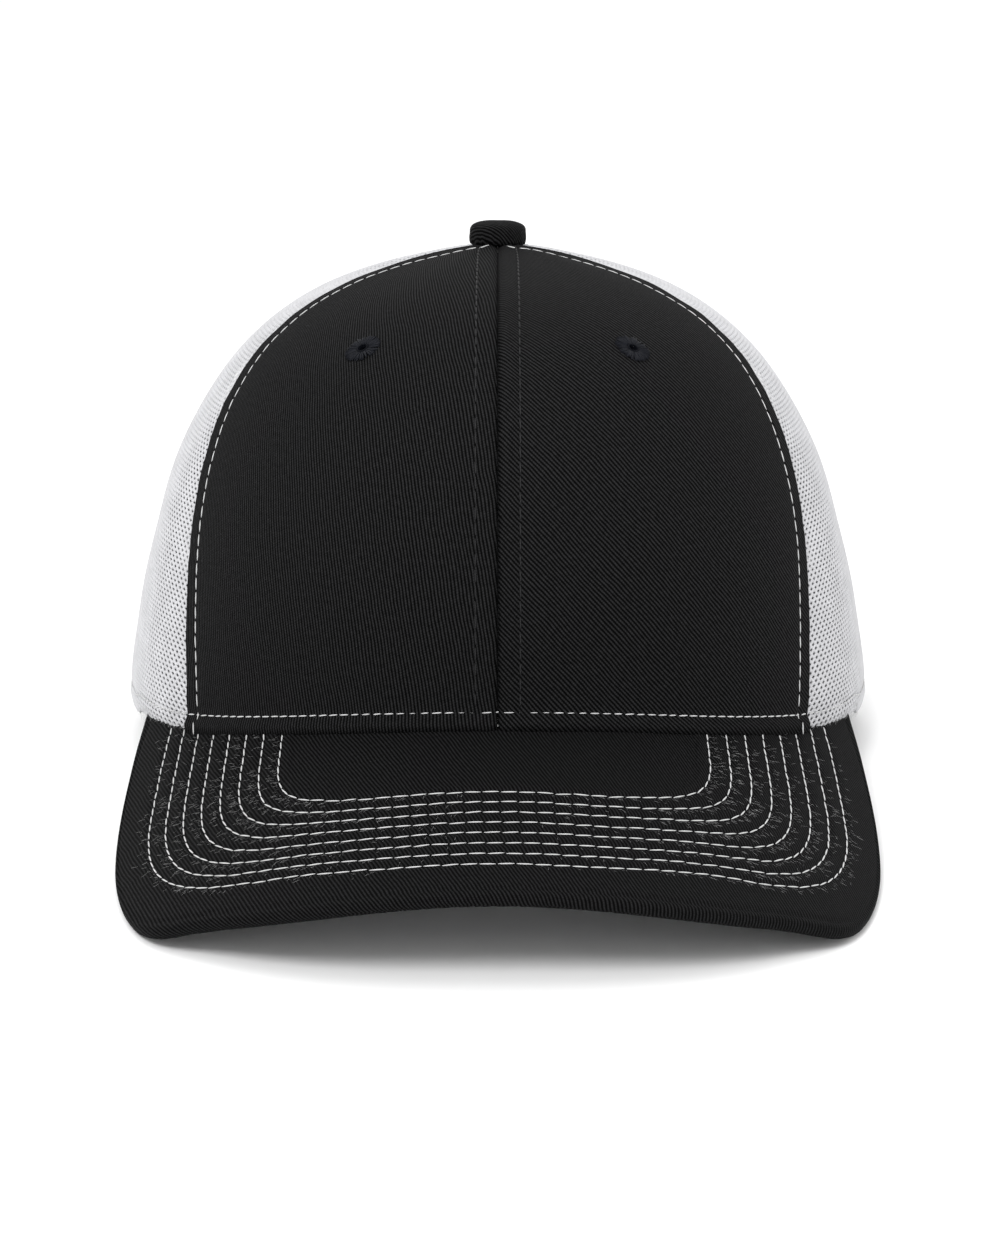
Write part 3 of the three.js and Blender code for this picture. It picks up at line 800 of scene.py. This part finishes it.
def hex_net(width, height):
    """A flat net of staggered six-sided cells, centred on x, from y = 0 upwards."""
    columns = 2 * int(width / MESH_CELL)
    rows = int(height / MESH_ROW)
    bm = bmesh.new()
    bmesh.ops.create_grid(bm, x_segments=columns, y_segments=rows, size=0.5)
    spots = {}
    for vert in bm.verts:
        column = round((vert.co.x + 0.5) * columns)
        row = round((vert.co.y + 0.5) * rows)
        spots[vert] = (column, row)
    walls = []
    for edge in bm.edges:
        (c1, r1), (c2, r2) = spots[edge.verts[0]], spots[edge.verts[1]]
        if c1 == c2 and 0 < c1 < columns and (c1 + min(r1, r2)) % 2:
            walls.append(edge)
    for vert, (column, row) in spots.items():
        lean = MESH_LEAN * MESH_ROW * (1 if (column + row) % 2 else -1)
        lean = -lean if row else 0
        vert.co = ((column - columns / 2) * MESH_CELL / 2, row * MESH_ROW + lean, 0)
    bmesh.ops.dissolve_edges(bm, edges=walls, use_verts=False)
    return bm


def mesh_relief(low, high, hem):
    """The net turns in at its two long seams and at the hem."""
    depth = MESH_DEPTH
    depth += 0.5 * dip(low, 1.0) if low is not None else 0
    depth += 0.5 * dip(high, 1.0) if high is not None else 0
    return depth + 0.2 * dip(hem - HEM_STITCH, 0.8) + 0.4 * dip(hem, 0.8)


def mesh_panel(name, left_seam, right_seam, tuck_left, tuck_right, arched, side):
    """A mesh panel. A tucked edge runs on under its neighbour; the other edge is turned in."""
    def middle(t):
        return (left_seam(t) + right_seam(t)) / 2

    heights = climb(middle(0.3))
    spans = [math.radians(right_seam(t) - left_seam(t)) * crown_radius(middle(t), t) for t in STEPS[::20]]
    bm = hex_net(max(spans) + 8, heights[-1] - APEX_RADIUS)
    layer = bm.verts.layers.float_vector.new("Flat")
    for vert in bm.verts:
        vert[layer] = vert.co
        t = float(np.interp(vert.co.y, heights, STEPS))
        centre = middle(t)
        angle = centre + arc(vert.co.x, centre, t)
        vert.co = (angle, t, 0)
    gone = []
    for face in bm.faces:
        centre = face.calc_center_median()
        angle, t = centre.x, centre.y
        reach = crown_radius(angle, t)
        left = math.radians(angle - left_seam(t)) * reach
        right = math.radians(right_seam(t) - angle) * reach
        outside = left < (-MESH_TUCK if tuck_left else 0) or right < (-MESH_TUCK if tuck_right else 0)
        low = crown_height(t) < low_hem(angle) or t > at_radius(angle, APEX_RADIUS + 0.6)
        in_arch = arched and crown_height(t) < arch_height(angle) + 1.5
        if outside or low or in_arch:
            gone.append(face)
    bmesh.ops.delete(bm, geom=gone, context="FACES")
    for vert in bm.verts:
        angle, t = vert.co.x, vert.co.y
        if not tuck_left:
            angle = max(angle, left_seam(t) + arc(0.15, angle, t))
        if not tuck_right:
            angle = min(angle, right_seam(t) - arc(0.15, angle, t))
        t = max(t, at_height(low_hem(angle)))
        reach = crown_radius(angle, t)
        low = None if tuck_left else math.radians(angle - left_seam(t)) * reach
        high = None if tuck_right else math.radians(right_seam(t) - angle) * reach
        depth = mesh_relief(low, high, crown_height(t) - low_hem(angle))
        wave = noise.noise(Vector((angle * 0.05, crown_height(t) * 0.045, 4.0)))
        vert.co = crown_point(angle, t, depth - 0.8 * wave)
    bmesh.ops.dissolve_degenerate(bm, dist=0.05, edges=bm.edges)
    cells = bm.faces[:]
    bmesh.ops.inset_individual(
        bm, faces=cells, thickness=MESH_YARN, depth=-MESH_ROUND, use_even_offset=True)
    bmesh.ops.delete(bm, geom=cells, context="FACES")
    if side < 0:
        mirror(bm)
    return piece(name, bm, MESH_WHITE, thick=MESH_THICK)


def mesh_panels():
    for side, word in SIDES:
        mesh_panel(f"side_mesh_{word}", front_seam, rear_seam, True, False, False, side)
        mesh_panel(f"rear_mesh_{word}", rear_seam, lambda t: 180.0, False, False, True, side)


# ---------------------------------------------------------------- tapes and binding

def seam_tape(name, seam, bottom, finish_, side=1):
    low, high = at_height(bottom), at_radius(seam(1), APEX_RADIUS + 6)

    def place(u, v):
        t = lerp(low, high, v)
        narrow = lerp(1, 0.55, smooth(v, 0.75, 1))
        offset = (u - 0.5) * TAPE_WIDTH * narrow
        edge = dip(abs(u - 0.5) - 0.5, 0.12)
        angle = seam(t) + arc(offset, seam(t), t)
        ripple = 0.15 * noise.noise(Vector((v * 30, u * 2, 2.0)))
        return crown_point(angle, t, TAPE_DEPTH - 0.15 * edge + ripple), (offset, v * 120)

    bm = cloth(8, 90, place, flip=True)
    if side < 0:
        mirror(bm)
    piece(name, bm, finish_, thick=0.45)


def seam_tapes():
    seam_tape("front_centre_tape", lambda t: 0.0, low_hem(0) + 3, TAPE_BLACK)
    above_arch = ARCH_HEIGHT + BINDING_WIDTH - 1
    seam_tape("rear_centre_tape", lambda t: 180.0, above_arch, TAPE_WHITE)
    for side, word in SIDES:
        for name, seam, bottom in (("front_side", front_seam, low_hem(FRONT_SEAM[0]) + 5),
                                   ("side_rear", rear_seam, 2)):
            seam_tape(f"{name}_tape_{word}", seam, bottom, TAPE_WHITE, side)


def arch_edge(turn):
    """Distance from the rear centre and height of the opening's edge, foot to foot."""
    cosine = math.cos(turn)
    ways = -ARCH_HALF_ANGLE * math.copysign(abs(cosine) ** (2 / ARCH_POWER), cosine)
    height = ARCH_HEIGHT * abs(math.sin(turn)) ** (2 / ARCH_POWER)
    return Vector((ways * math.radians(1) * CROWN_REAR, height))


def arch_point(turn, away, depth):
    here = arch_edge(turn)
    ahead = (arch_edge(min(turn + 0.01, math.pi)) - arch_edge(max(turn - 0.01, 0))).normalized()
    ways = here.x - ahead.y * away
    height = max(here.y + ahead.x * away, 0)
    angle = 180 - ways / (math.radians(1) * CROWN_REAR)
    t = at_height(height)
    return crown_point(angle, t, depth), crown_normal(angle, t)


def arch_binding():
    """A strip folded over the opening's edge: outer leg, fold, inner leg."""
    outer, inner = -0.55, 1.5
    fold = (inner - outer) / 2

    def place(u, v):
        turn = math.pi * u
        wave = 0.12 * noise.noise(Vector((u * 60, v * 3, 6.0)))
        leg = BINDING_WIDTH / (2 * BINDING_WIDTH + math.pi * fold)
        if v < leg:
            away, depth = BINDING_WIDTH * (1 - v / leg), outer
        elif v > 1 - leg:
            away, depth = BINDING_WIDTH * (v - 1 + leg) / leg, inner
        else:
            swing = math.pi * (v - leg) / (1 - 2 * leg)
            away, depth = -fold * math.sin(swing), (outer + inner) / 2 - fold * math.cos(swing)
        groove = 0.18 * dip(away - BINDING_WIDTH + BINDING_STITCH, 0.5)
        groove += 0.14 * dip(away - BINDING_STITCH, 0.5)
        sink = groove if depth < 0.5 else -groove
        point, _ = arch_point(turn, away, depth + sink + wave)
        return point, (u * 150, v * 22)

    bm = cloth(170, 40, place)
    piece("arch_binding", bm, TAPE_BLACK, thick=0.45)


# ---------------------------------------------------------------- sweatband

def band_step(size):
    """The band stands further in behind the opening's binding."""
    return 2.8 * smooth(size, 118, 132)


def band_floor(size):
    return low_hem(size) if size < 90 else 0.0


def sweatband():
    """A soft folded strip: it swells between the stitched lower edge and its top fold."""
    def place(u, v):
        angle = lerp(-BAND_END, BAND_END, u)
        size = abs(angle)
        loop = v * 2
        rise = loop if loop < 1 else 2 - loop
        inside = loop < 1
        t = at_height(band_floor(size) + lerp(BAND_FOOT, BAND_HEIGHT, rise))
        fat = math.sin(math.pi * clamp(rise * 0.94 + 0.03)) ** 0.6
        crease = noise.noise(Vector((angle * 0.22, rise * 2.2, 1.0)))
        seam = 0.5 * dip(rise - BAND_STITCH, 0.03)
        depth = BAND_DEPTH + band_step(size)
        if inside:
            depth += 0.35 + 0.9 * fat + 0.35 * crease * fat - seam
        else:
            depth += 0.25 * (1 - fat)
        return crown_point(angle, t, depth), (angle * 1.6, loop * BAND_HEIGHT)

    bm = cloth(300, 44, place, flip=True)
    bmesh.ops.remove_doubles(bm, verts=bm.verts, dist=0.01)
    rims = [e for e in bm.edges if e.is_boundary]
    bmesh.ops.holes_fill(bm, edges=rims, sides=0)
    obj = piece("sweatband", bm, BAND_CLOTH, replaces=["sweatband_padding"])


def inner_label():
    """A blank woven label sewn flat on the sweatband."""
    def place(u, v):
        angle = lerp(87, 105, u)
        curl = 0.5 * dip(u, 0.05) + 0.5 * dip(1 - u, 0.05)
        ripple = 0.1 * noise.noise(Vector((u * 5, v * 4, 9.0)))
        t = at_height(lerp(10, 24, v))
        return crown_point(angle, t, BAND_DEPTH + 1.95 - curl * 0.4 + ripple), (u * 27, v * 14)

    bm = cloth(30, 16, place, flip=True)
    piece("inner_label", bm, TAPE_WHITE, thick=0.3)


# ---------------------------------------------------------------- visor

def visor_relief(s, w, edge):
    """The padding swells between the stitch rows and is flat beyond them."""
    number = row_number(s, w)
    if number < -0.6:
        return 0.12 * noise.noise(Vector((s * 0.06, w * 0.05, 2.0)))
    nearest = clamp(round(number), 0, ROW_COUNT - 1)
    away = abs(number - nearest) * ROW_REACH[1]
    pull = noise.noise(Vector((s * 0.28, w * 0.28, 5.0)))
    return 0.12 - (0.34 + 0.16 * pull) * dip(away, 0.85) - 0.3 * dip(edge - 2.6, 0.8)


def visor_top():
    """The top cover, over the board and rolled round the visor's edge."""
    flat_part = 0.9

    def place(u, v):
        inner, ray, length = visor_ray(2 * u - 1)
        radius = min(VISOR_EDGE[0], length * 0.5)
        drop = VISOR_EDGE[1]
        if v < flat_part:
            out = (length - radius) * v / flat_part
            place_ = inner + ray * out
            height = visor_relief(place_.x, place_.y, length - out)
            height -= 0.3 * dip(out, 1.5)
            flat = place_
        else:
            swing = (v - flat_part) / (1 - flat_part) * 1.35
            turn = min(swing, 1.0) * math.pi / 2
            place_ = inner + ray * (length - radius + radius * math.sin(turn))
            height = drop * (math.cos(turn) - 1) - max(swing - 1, 0) * 1.6
            flat = inner + ray * (length - radius + swing * 2.6)
        return visor_point(place_.x, place_.y, height), (flat.y, -flat.x)

    bm = cloth(400, 112, place, flip=True)
    piece("visor_cover_top", bm, TWILL_VISOR_PAINTED_SHADE, thick=VISOR_CLOTH)


def visor_under():
    """The under cover, turned up to meet the top cover at the visor's edge."""
    flat_part = 0.88

    def place(u, v):
        inner, ray, length = visor_ray(2 * u - 1)
        length -= UNDER_INSET
        radius = min(UNDER_ROUND, length * 0.5)
        if v < flat_part:
            out = (length - radius) * v / flat_part
            place_ = inner + ray * out
            height = -VISOR_THICK - 0.8 * visor_relief(place_.x, place_.y, length - out)
        else:
            turn = (v - flat_part) / (1 - flat_part) * math.pi / 2
            place_ = inner + ray * (length - radius + radius * math.sin(turn))
            height = -VISOR_THICK + radius * (1 - math.cos(turn))
        return visor_point(place_.x, place_.y, height), (place_.y, place_.x)

    bm = cloth(180, 90, place)
    piece("visor_cover_under", bm, TWILL_VISOR_PAINTED_SHADE, thick=VISOR_CLOTH)


# ---------------------------------------------------------------- button and eyelets

def spun(profile, steps=48):
    """Turns a profile of (radius, height) points about the cap's axis."""
    bm = bmesh.new()
    verts = [bm.verts.new((radius, 0, height)) for radius, height in profile]
    edges = [bm.edges.new(pair) for pair in zip(verts, verts[1:])]
    bmesh.ops.spin(bm, geom=verts + edges, cent=(0, 0, 0), axis=(0, 0, 1), dvec=(0, 0, 0),
                   angle=math.tau, steps=steps, use_merge=True, use_duplicate=False)
    bmesh.ops.remove_doubles(bm, verts=bm.verts, dist=0.0005)
    bmesh.ops.recalc_face_normals(bm, faces=bm.faces)
    return bm


def planar_pattern(bm):
    pattern = bm.loops.layers.uv.new("Pattern")
    for face in bm.faces:
        for loop in face.loops:
            loop[pattern].uv = (loop.vert.co.x, loop.vert.co.y + loop.vert.co.z)
    return bm


def button():
    top = CROWN_HEIGHT
    rise = BUTTON_TOP - BUTTON_SHOULDER
    crown = [(BUTTON_RADIUS * math.sin(a) ** 0.72, top + BUTTON_SHOULDER + rise * math.cos(a) ** 0.7)
             for a in (math.radians(d) for d in range(0, 91, 6))]
    skirt = [(BUTTON_RADIUS + wider, top + height) for wider, height in BUTTON_SKIRT]
    bm = spun([*crown, *skirt, (0, top - 0.4)], 56)
    for vert in bm.verts:
        radius = math.hypot(vert.co.x, vert.co.y)
        turn = math.atan2(vert.co.y, vert.co.x)
        low = smooth(top + 2.6 - vert.co.z, 0, 2.4)
        gather = 0.16 * low * math.sin(turn * 17 + 2 * math.sin(turn * 3)) * clamp(radius / 5)
        lump = 0.22 * noise.noise(vert.co * 0.25)
        if radius > 0.01:
            vert.co += Vector((vert.co.x, vert.co.y, 0)).normalized() * gather
        vert.co.z += lump * clamp(radius / 3)
    piece("button_shell", planar_pattern(bm), TWILL_BUTTON)
    washer = spun([(radius, top - depth) for radius, depth in WASHER], 48)
    piece("button_washer", washer, STEEL)


def eyelet(side, name):
    """A ring of close radial threads round a small hole."""
    t = at_height(EYELET_HEIGHT)
    centre = crown_outer(side * EYELET_ANGLE, t)
    normal = crown_normal(side * EYELET_ANGLE, t)
    across = normal.cross(Vector((0, 0, 1))).normalized()
    up = across.cross(normal)
    bm = bmesh.new()
    places = []
    for count, rise, fray in EYELET_LAYERS:
        for i in range(count):
            turn = math.tau * (i + random.uniform(-0.3, 0.3)) / count
            way = across * math.cos(turn) + up * math.sin(turn)
            inner = EYELET_HOLE + random.uniform(-0.1, 0.2)
            outer = EYELET_RADIUS + random.uniform(-fray, 0.2)
            skew = across * -math.sin(turn) + up * math.cos(turn)
            start = centre + way * inner + normal * (PROUD + rise)
            end = centre + way * outer + skew * random.uniform(-0.3, 0.4) + normal * (PROUD + rise)
            places.append(bar_place(start, end, normal, 0.21, 1.1))
    for i in range(20):
        turn = math.tau * i / 20
        way = across * math.cos(turn) + up * math.sin(turn)
        start = centre + way * EYELET_HOLE + normal * 0.75
        end = centre + way * (EYELET_HOLE + 0.1) - normal * 1.9
        places.append(bar_place(start, end, way, 0.22))
    bars(bm, places)
    piece(name, bm, THREAD_EYELET)


# ---------------------------------------------------------------- snap strap

def strap_point(degrees, radius, height):
    turn = math.radians(degrees)
    return Vector((radius * math.sin(turn), STRAP_CENTRE_Y + radius * math.cos(turn), height))


def snap_angles(side):
    return [side * SNAP_PITCH * (i + SNAP_FIRST) for i in range(SNAP_COUNT)]


def strap_blank(side, middle, holes):
    """The flat strip: cells along its length, each with or without a round hole."""
    start = side * STRAP_ROOT_END
    tip = -side * STRAP_TIP
    length = math.radians(abs(tip - start)) * middle
    half = STRAP_HEIGHT / 2
    centres = sorted(math.radians(abs(a - start)) * middle for a in snap_angles(side)) if holes else []
    bm = bmesh.new()
    cell = math.radians(SNAP_PITCH) * middle / 2
    plain = [c for c in np.linspace(0, length, 13)
             if all(abs(c - centre) > cell + 1 for centre in centres)]
    cuts = sorted({0.0, length, *plain} | {c - cell for c in centres} | {c + cell for c in centres})
    cuts = [c for i, c in enumerate(cuts) if i == 0 or c - cuts[i - 1] > 0.05]
    for low, high in zip(cuts, cuts[1:]):
        hole = [c for c in centres if low < c < high]
        pieces = 8
        corners = [(low, -half), (high, -half), (high, half), (low, half)]
        edge = [(lerp(x1, x2, i / pieces), lerp(y1, y2, i / pieces))
                for (x1, y1), (x2, y2) in zip(corners, corners[1:] + corners[:1]) for i in range(pieces)]
        rim = [bm.verts.new((x, y, 0)) for x, y in edge]
        rim_edges = [bm.edges.new((a, b)) for a, b in zip(rim, rim[1:] + rim[:1])]
        if hole:
            inner = []
            for x, y in edge:
                way = math.atan2(y / half, (x - hole[0]) / cell)
                round_ = Vector((math.cos(way), math.sin(way), 0)) * HOLE_RADIUS
                inner.append(bm.verts.new((hole[0] + round_.x, round_.y, 0)))
            inner_edges = [bm.edges.new((a, b)) for a, b in zip(inner, inner[1:] + inner[:1])]
            bmesh.ops.bridge_loops(bm, edges=rim_edges + inner_edges)
        else:
            bmesh.ops.grid_fill(bm, edges=rim_edges[:pieces] + rim_edges[2 * pieces:3 * pieces])
    bmesh.ops.remove_doubles(bm, verts=bm.verts, dist=0.02)
    return bm, length, start, tip


def strap(side, name, root, layer, holes):
    """One moulded strip, from its sewn root to its rounded tip, bent to the strap's curve."""
    middle = (layer[0] + layer[1]) / 2
    bm, length, start, tip = strap_blank(side, middle, holes)
    long = [e for e in bm.edges if not e.is_boundary and e.calc_length() > 3]
    bmesh.ops.subdivide_edges(bm, edges=long, cuts=2, use_grid_fill=True)
    bmesh.ops.recalc_face_normals(bm, faces=bm.faces)
    thick = layer[1] - layer[0]
    bmesh.ops.solidify(bm, geom=bm.faces[:], thickness=thick)
    low = min(v.co.z for v in bm.verts)
    half = STRAP_HEIGHT / 2
    rim = [e for e in bm.edges if e.calc_face_angle(0) > 0.9]
    bmesh.ops.bevel(bm, geom=rim, offset=0.22, segments=2, affect="EDGES", profile=0.5, material=-1)
    tip_radius = 7.0
    for vert in bm.verts:
        x, y, z = vert.co
        past = clamp(1 - (length - x) / tip_radius, 0, 0.995)
        limit = half - tip_radius * (1 - math.sqrt(1 - past * past))
        y *= limit / half
        degrees = start + (tip - start) * x / length
        ridge = 0.18 * dip(abs(vert.co.y) - half + 0.9, 0.5) if z - low > thick * 0.8 else 0
        vert.co = strap_point(degrees, layer[0] + (z - low) + ridge, half + y)
    bmesh.ops.recalc_face_normals(bm, faces=bm.faces)
    if not holes:
        add_pegs(bm, side, layer)
    obj = piece(name, bm, PLASTIC, body=None, replaces=[root])
    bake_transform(obj)


def add_pegs(bm, side, layer):
    """Mushroom pegs that stand on the strip's outer face."""
    base = layer[1] - 0.2
    for degrees in snap_angles(side):
        out = (strap_point(degrees, 1, 0) - strap_point(degrees, 0, 0)).normalized()
        turn = out.to_track_quat("Z", "Y").to_matrix().to_4x4()
        spot = Matrix.Translation(strap_point(degrees, base, STRAP_HEIGHT / 2)) @ turn
        sides = [(PEG_RADIUS + wider, height) for wider, height in PEG_PROFILE]
        profile = [(0, -0.3), *sides, (0, 2.5)]
        peg = spun(profile, 18)
        bmesh.ops.transform(peg, matrix=spot, verts=peg.verts)
        join(bm, peg)


# ---------------------------------------------------------------- thread

def seam_path(seam, offset, surface, low, high, side):
    def path(k):
        t = lerp(low, high, k)
        angle = side * (seam(t) + arc(offset, seam(t), t))
        return surface(angle, t), crown_normal(angle, t)
    return path


def hem_path(start, end, surface):
    def path(k):
        angle = lerp(start, end, k)
        t = at_height(low_hem(angle) + HEM_STITCH)
        return surface(angle, t), crown_normal(angle, t)
    return path


def mesh_cloth(angle, t):
    return crown_point(angle, t, MESH_DEPTH + 0.05)


def front_thread():
    """White thread on the hem and side seams, black thread beside the centre seam."""
    white = bmesh.new()
    for side in (1, -1):
        low = at_height(low_hem(FRONT_SEAM[0]) + 0.4)
        high = at_radius(FRONT_SEAM[1], APEX_RADIUS + 0.9)
        stitches(white, seam_path(front_seam, -SEAM_STITCH, front_cloth, low, high, side), SEAM_PITCH)
    reach = FRONT_SEAM[0] - 0.3
    stitches(white, hem_path(-reach, reach, front_cloth), 2.6, gap=0.35)
    piece("front_topstitching", white, THREAD_WHITE)
    black = bmesh.new()
    for side in (1, -1):
        low, high = at_height(low_hem(0) + 5), at_radius(0, APEX_RADIUS + 4)
        centre = seam_path(lambda t: 0.0, CENTRE_STITCH, front_cloth, low, high, side)
        stitches(black, centre, SEAM_PITCH, radius=0.2)
    piece("centre_topstitching", black, THREAD_BLACK)


def mesh_thread():
    """White thread beside the mesh seams and round the mesh hem."""
    bm = bmesh.new()
    high = at_radius(120, APEX_RADIUS + 3)
    for side in (1, -1):
        for offset in (-2.2, 2.2):
            stitches(bm, seam_path(rear_seam, offset, mesh_cloth, at_height(1), high, side), SEAM_PITCH)
        low = at_height(ARCH_HEIGHT + BINDING_WIDTH)
        rear = seam_path(lambda t: 180.0, 2.2 * side, mesh_cloth, low, at_radius(180, APEX_RADIUS + 3), 1)
        stitches(bm, rear, SEAM_PITCH)
        stitches(bm, hem_path(side * (FRONT_SEAM[0] + 0.5), side * 148, mesh_cloth), 2.8, gap=0.35)
    piece("mesh_topstitching", bm, THREAD_WHITE)


def binding_thread():
    bm = bmesh.new()
    for away in (BINDING_WIDTH - BINDING_STITCH, BINDING_STITCH):
        def path(k, away=away):
            return arch_point(math.pi * lerp(0.012, 0.988, k), away, -0.45)

        stitches(bm, path, 2.9, radius=0.2)
    piece("binding_topstitching", bm, THREAD_BLACK)


def row_path(j, under):
    def path(k):
        place = row_point(j, lerp(-130, 130, k))
        normal = visor_normal(place.x, place.y)
        relief = visor_relief(place.x, place.y, 20)
        height = -VISOR_THICK - 0.8 * relief if under else relief
        return visor_point(place.x, place.y, height), -normal if under else normal
    return path


def outside_crown(point, margin):
    angle = math.degrees(math.atan2(point.x, -point.y))
    return math.hypot(point.x, point.y) > crown_radius(angle, 0) + margin


def trimmed(path, keep):
    """The stretch of a path where keep(point) holds."""
    inside = [i / 400 for i in range(401) if keep(path(i / 400)[0])]
    return lambda k: path(lerp(inside[0], inside[-1], k))


def visor_thread():
    """Eight rows of white thread round the visor, and the same rows underneath."""
    faces = ((bmesh.new(), False, -0.6), (bmesh.new(), True, -1.5))
    for j in range(ROW_COUNT):
        for bm, under, margin in faces:
            path = trimmed(row_path(j, under), lambda p, m=margin: outside_crown(p, m))
            stitches(bm, path, ROW_PITCH, gap=0.25, lift=0.15)
    piece("visor_topstitching", faces[0][0], THREAD_WHITE)
    piece("visor_under_stitching", faces[1][0], THREAD_WHITE)


def lint(name, count, spot):
    """Short fine fibres. spot() gives a point, a normal and the way a fibre leans."""
    places = []
    while len(places) < count:
        point, normal, lean = spot()
        stray = Vector([random.gauss(0, 0.32) for _ in range(3)])
        way = (lean + stray - normal * stray.dot(normal) * 0.6).normalized()
        length = random.uniform(0.7, 2.1)
        places.append(bar_place(point, point + way * length, normal, random.uniform(0.013, 0.023)))
    bm = bmesh.new()
    bars(bm, places, 4, 3)
    piece(name, bm, LINT)


def visor_spot():
    """A fibre on the visor leans outwards from its stitch row, most often at a corner."""
    while True:
        degrees = random.choice((-1, 1)) * random.triangular(5, 118, 62)
        j = random.randrange(ROW_COUNT) + abs(random.gauss(0, 0.22))
        here, ahead = row_point(j, degrees), row_point(j + 0.5, degrees)
        point = visor_point(here.x, here.y, visor_relief(here.x, here.y, 20) + 0.05)
        if outside_crown(point, 0.5):
            normal = visor_normal(here.x, here.y)
            lean = visor_point(ahead.x, ahead.y, 0.3) - visor_point(here.x, here.y, 0)
            return point, normal, lean.normalized()


def mesh_hem_spot():
    """Frayed ends of mesh yarn above the visor's corners."""
    angle = random.choice((-1, 1)) * random.uniform(FRONT_SEAM[0] + 0.5, FRONT_SEAM[0] + 22)
    t = at_height(low_hem(angle) + random.uniform(0, 3))
    return crown_point(angle, t, 0), crown_normal(angle, t), Vector((0, 0, -0.6))


def seam_spot():
    """Loops of mesh yarn that stand out along the black seam."""
    t = random.uniform(0.02, 0.95)
    side = random.choice((-1, 1))
    angle = side * (front_seam(t) - arc(SEAM_EDGE - 0.3, front_seam(t), t))
    return crown_point(angle, t, -0.1), crown_normal(angle, t), Vector((side * 0.5, 0.3, 0.3))


def band_thread():
    bm = bmesh.new()

    def path(k):
        angle = lerp(-BAND_END + 1, BAND_END - 1, k)
        size = abs(angle)
        t = at_height(band_floor(size) + lerp(BAND_FOOT, BAND_HEIGHT, BAND_STITCH))
        depth = BAND_DEPTH + band_step(size) + 0.75
        return crown_point(angle, t, depth), -crown_normal(angle, t)

    stitches(bm, path, 3.4)
    piece("sweatband_stitching", bm, THREAD_WHITE)


# ---------------------------------------------------------------- camera, light, floor

def camera():
    """A long lens, a little above the cap and square to its front."""
    lift = math.radians(VIEW_LIFT)
    target = Vector((0, -20, 35))
    forward = Vector((0, math.cos(lift), -math.sin(lift)))
    up = Vector((0, math.sin(lift), math.cos(lift)))
    eye = CAP @ (target - forward * VIEW_DISTANCE)
    aim = CAP @ (target - up * VIEW_DROP + Vector((0.5, 0, 0)))
    data = bpy.data.cameras.new("Camera")
    data.lens = VIEW_LENS
    data.sensor_width = 36
    data.clip_start = 0.01
    obj = bpy.data.objects.new("Camera", data)
    obj.location = eye
    obj.rotation_euler = (aim - eye).to_track_quat("-Z", "Y").to_euler()
    scene.collection.objects.link(obj)
    scene.camera = obj


def lamp(name, place, size, power):
    """A square soft light, turned to the cap."""
    data = bpy.data.lights.new(name, "AREA")
    data.size = size
    data.energy = power
    obj = bpy.data.objects.new(name, data)
    obj.location = place
    obj.rotation_euler = (LAMP_TARGET - Vector(place)).to_track_quat("-Z", "Y").to_euler()
    scene.collection.objects.link(obj)


def studio():
    bm = bmesh.new()
    bmesh.ops.create_grid(bm, x_segments=1, y_segments=1, size=FLOOR_HALF)
    mesh = bpy.data.meshes.new("floor")
    bm.to_mesh(mesh)
    bm.free()
    floor = bpy.data.objects.new("floor", mesh)
    scene.collection.objects.link(floor)
    pale = bpy.data.materials.new("Pale floor")
    pale.use_nodes = True
    paint = pale.node_tree.nodes["Principled BSDF"].inputs
    paint["Base Color"].default_value = (0.95, 0.95, 0.95, 1)
    paint["Roughness"].default_value = 0.9
    mesh.materials.append(pale)
    world = bpy.data.worlds.new("Studio")
    world.use_nodes = True
    sky = world.node_tree.nodes["Background"].inputs
    sky["Color"].default_value = (1, 1, 1, 1)
    sky["Strength"].default_value = SKY_STRENGTH
    scene.world = world
    for name, place, size, power in LAMPS:
        lamp(name, place, size, power)
    scene.view_settings.view_transform = "Standard"


camera()
front_panel(1, "front_panel_right", TWILL_RIGHT)
front_panel(-1, "front_panel_left", TWILL_LEFT)
for side, word in SIDES:
    buckram(side, f"buckram_{word}")
mesh_panels()
seam_tapes()
arch_binding()
sweatband()
inner_label()
visor_top()
visor_under()
button()
for side, word in SIDES:
    eyelet(side, f"eyelet_{word}")
strap(1, "peg_tab", "peg_tab_root", PEG_TAB, False)
strap(-1, "hole_tab", "hole_tab_root", HOLE_TAB, True)
front_thread()
mesh_thread()
binding_thread()
visor_thread()
for name, count, spot in (("visor_lint", 2400, visor_spot), ("mesh_hem_fray", 320, mesh_hem_spot),
                          ("mesh_seam_fray", 320, seam_spot)):
    lint(name, count, spot)
band_thread()
for node, surface in (("visor_board", BOARD), ("button_post", STEEL)):
    frame["nodes"][node].data.materials.clear()
    frame["nodes"][node].data.materials.append(surface)
studio()
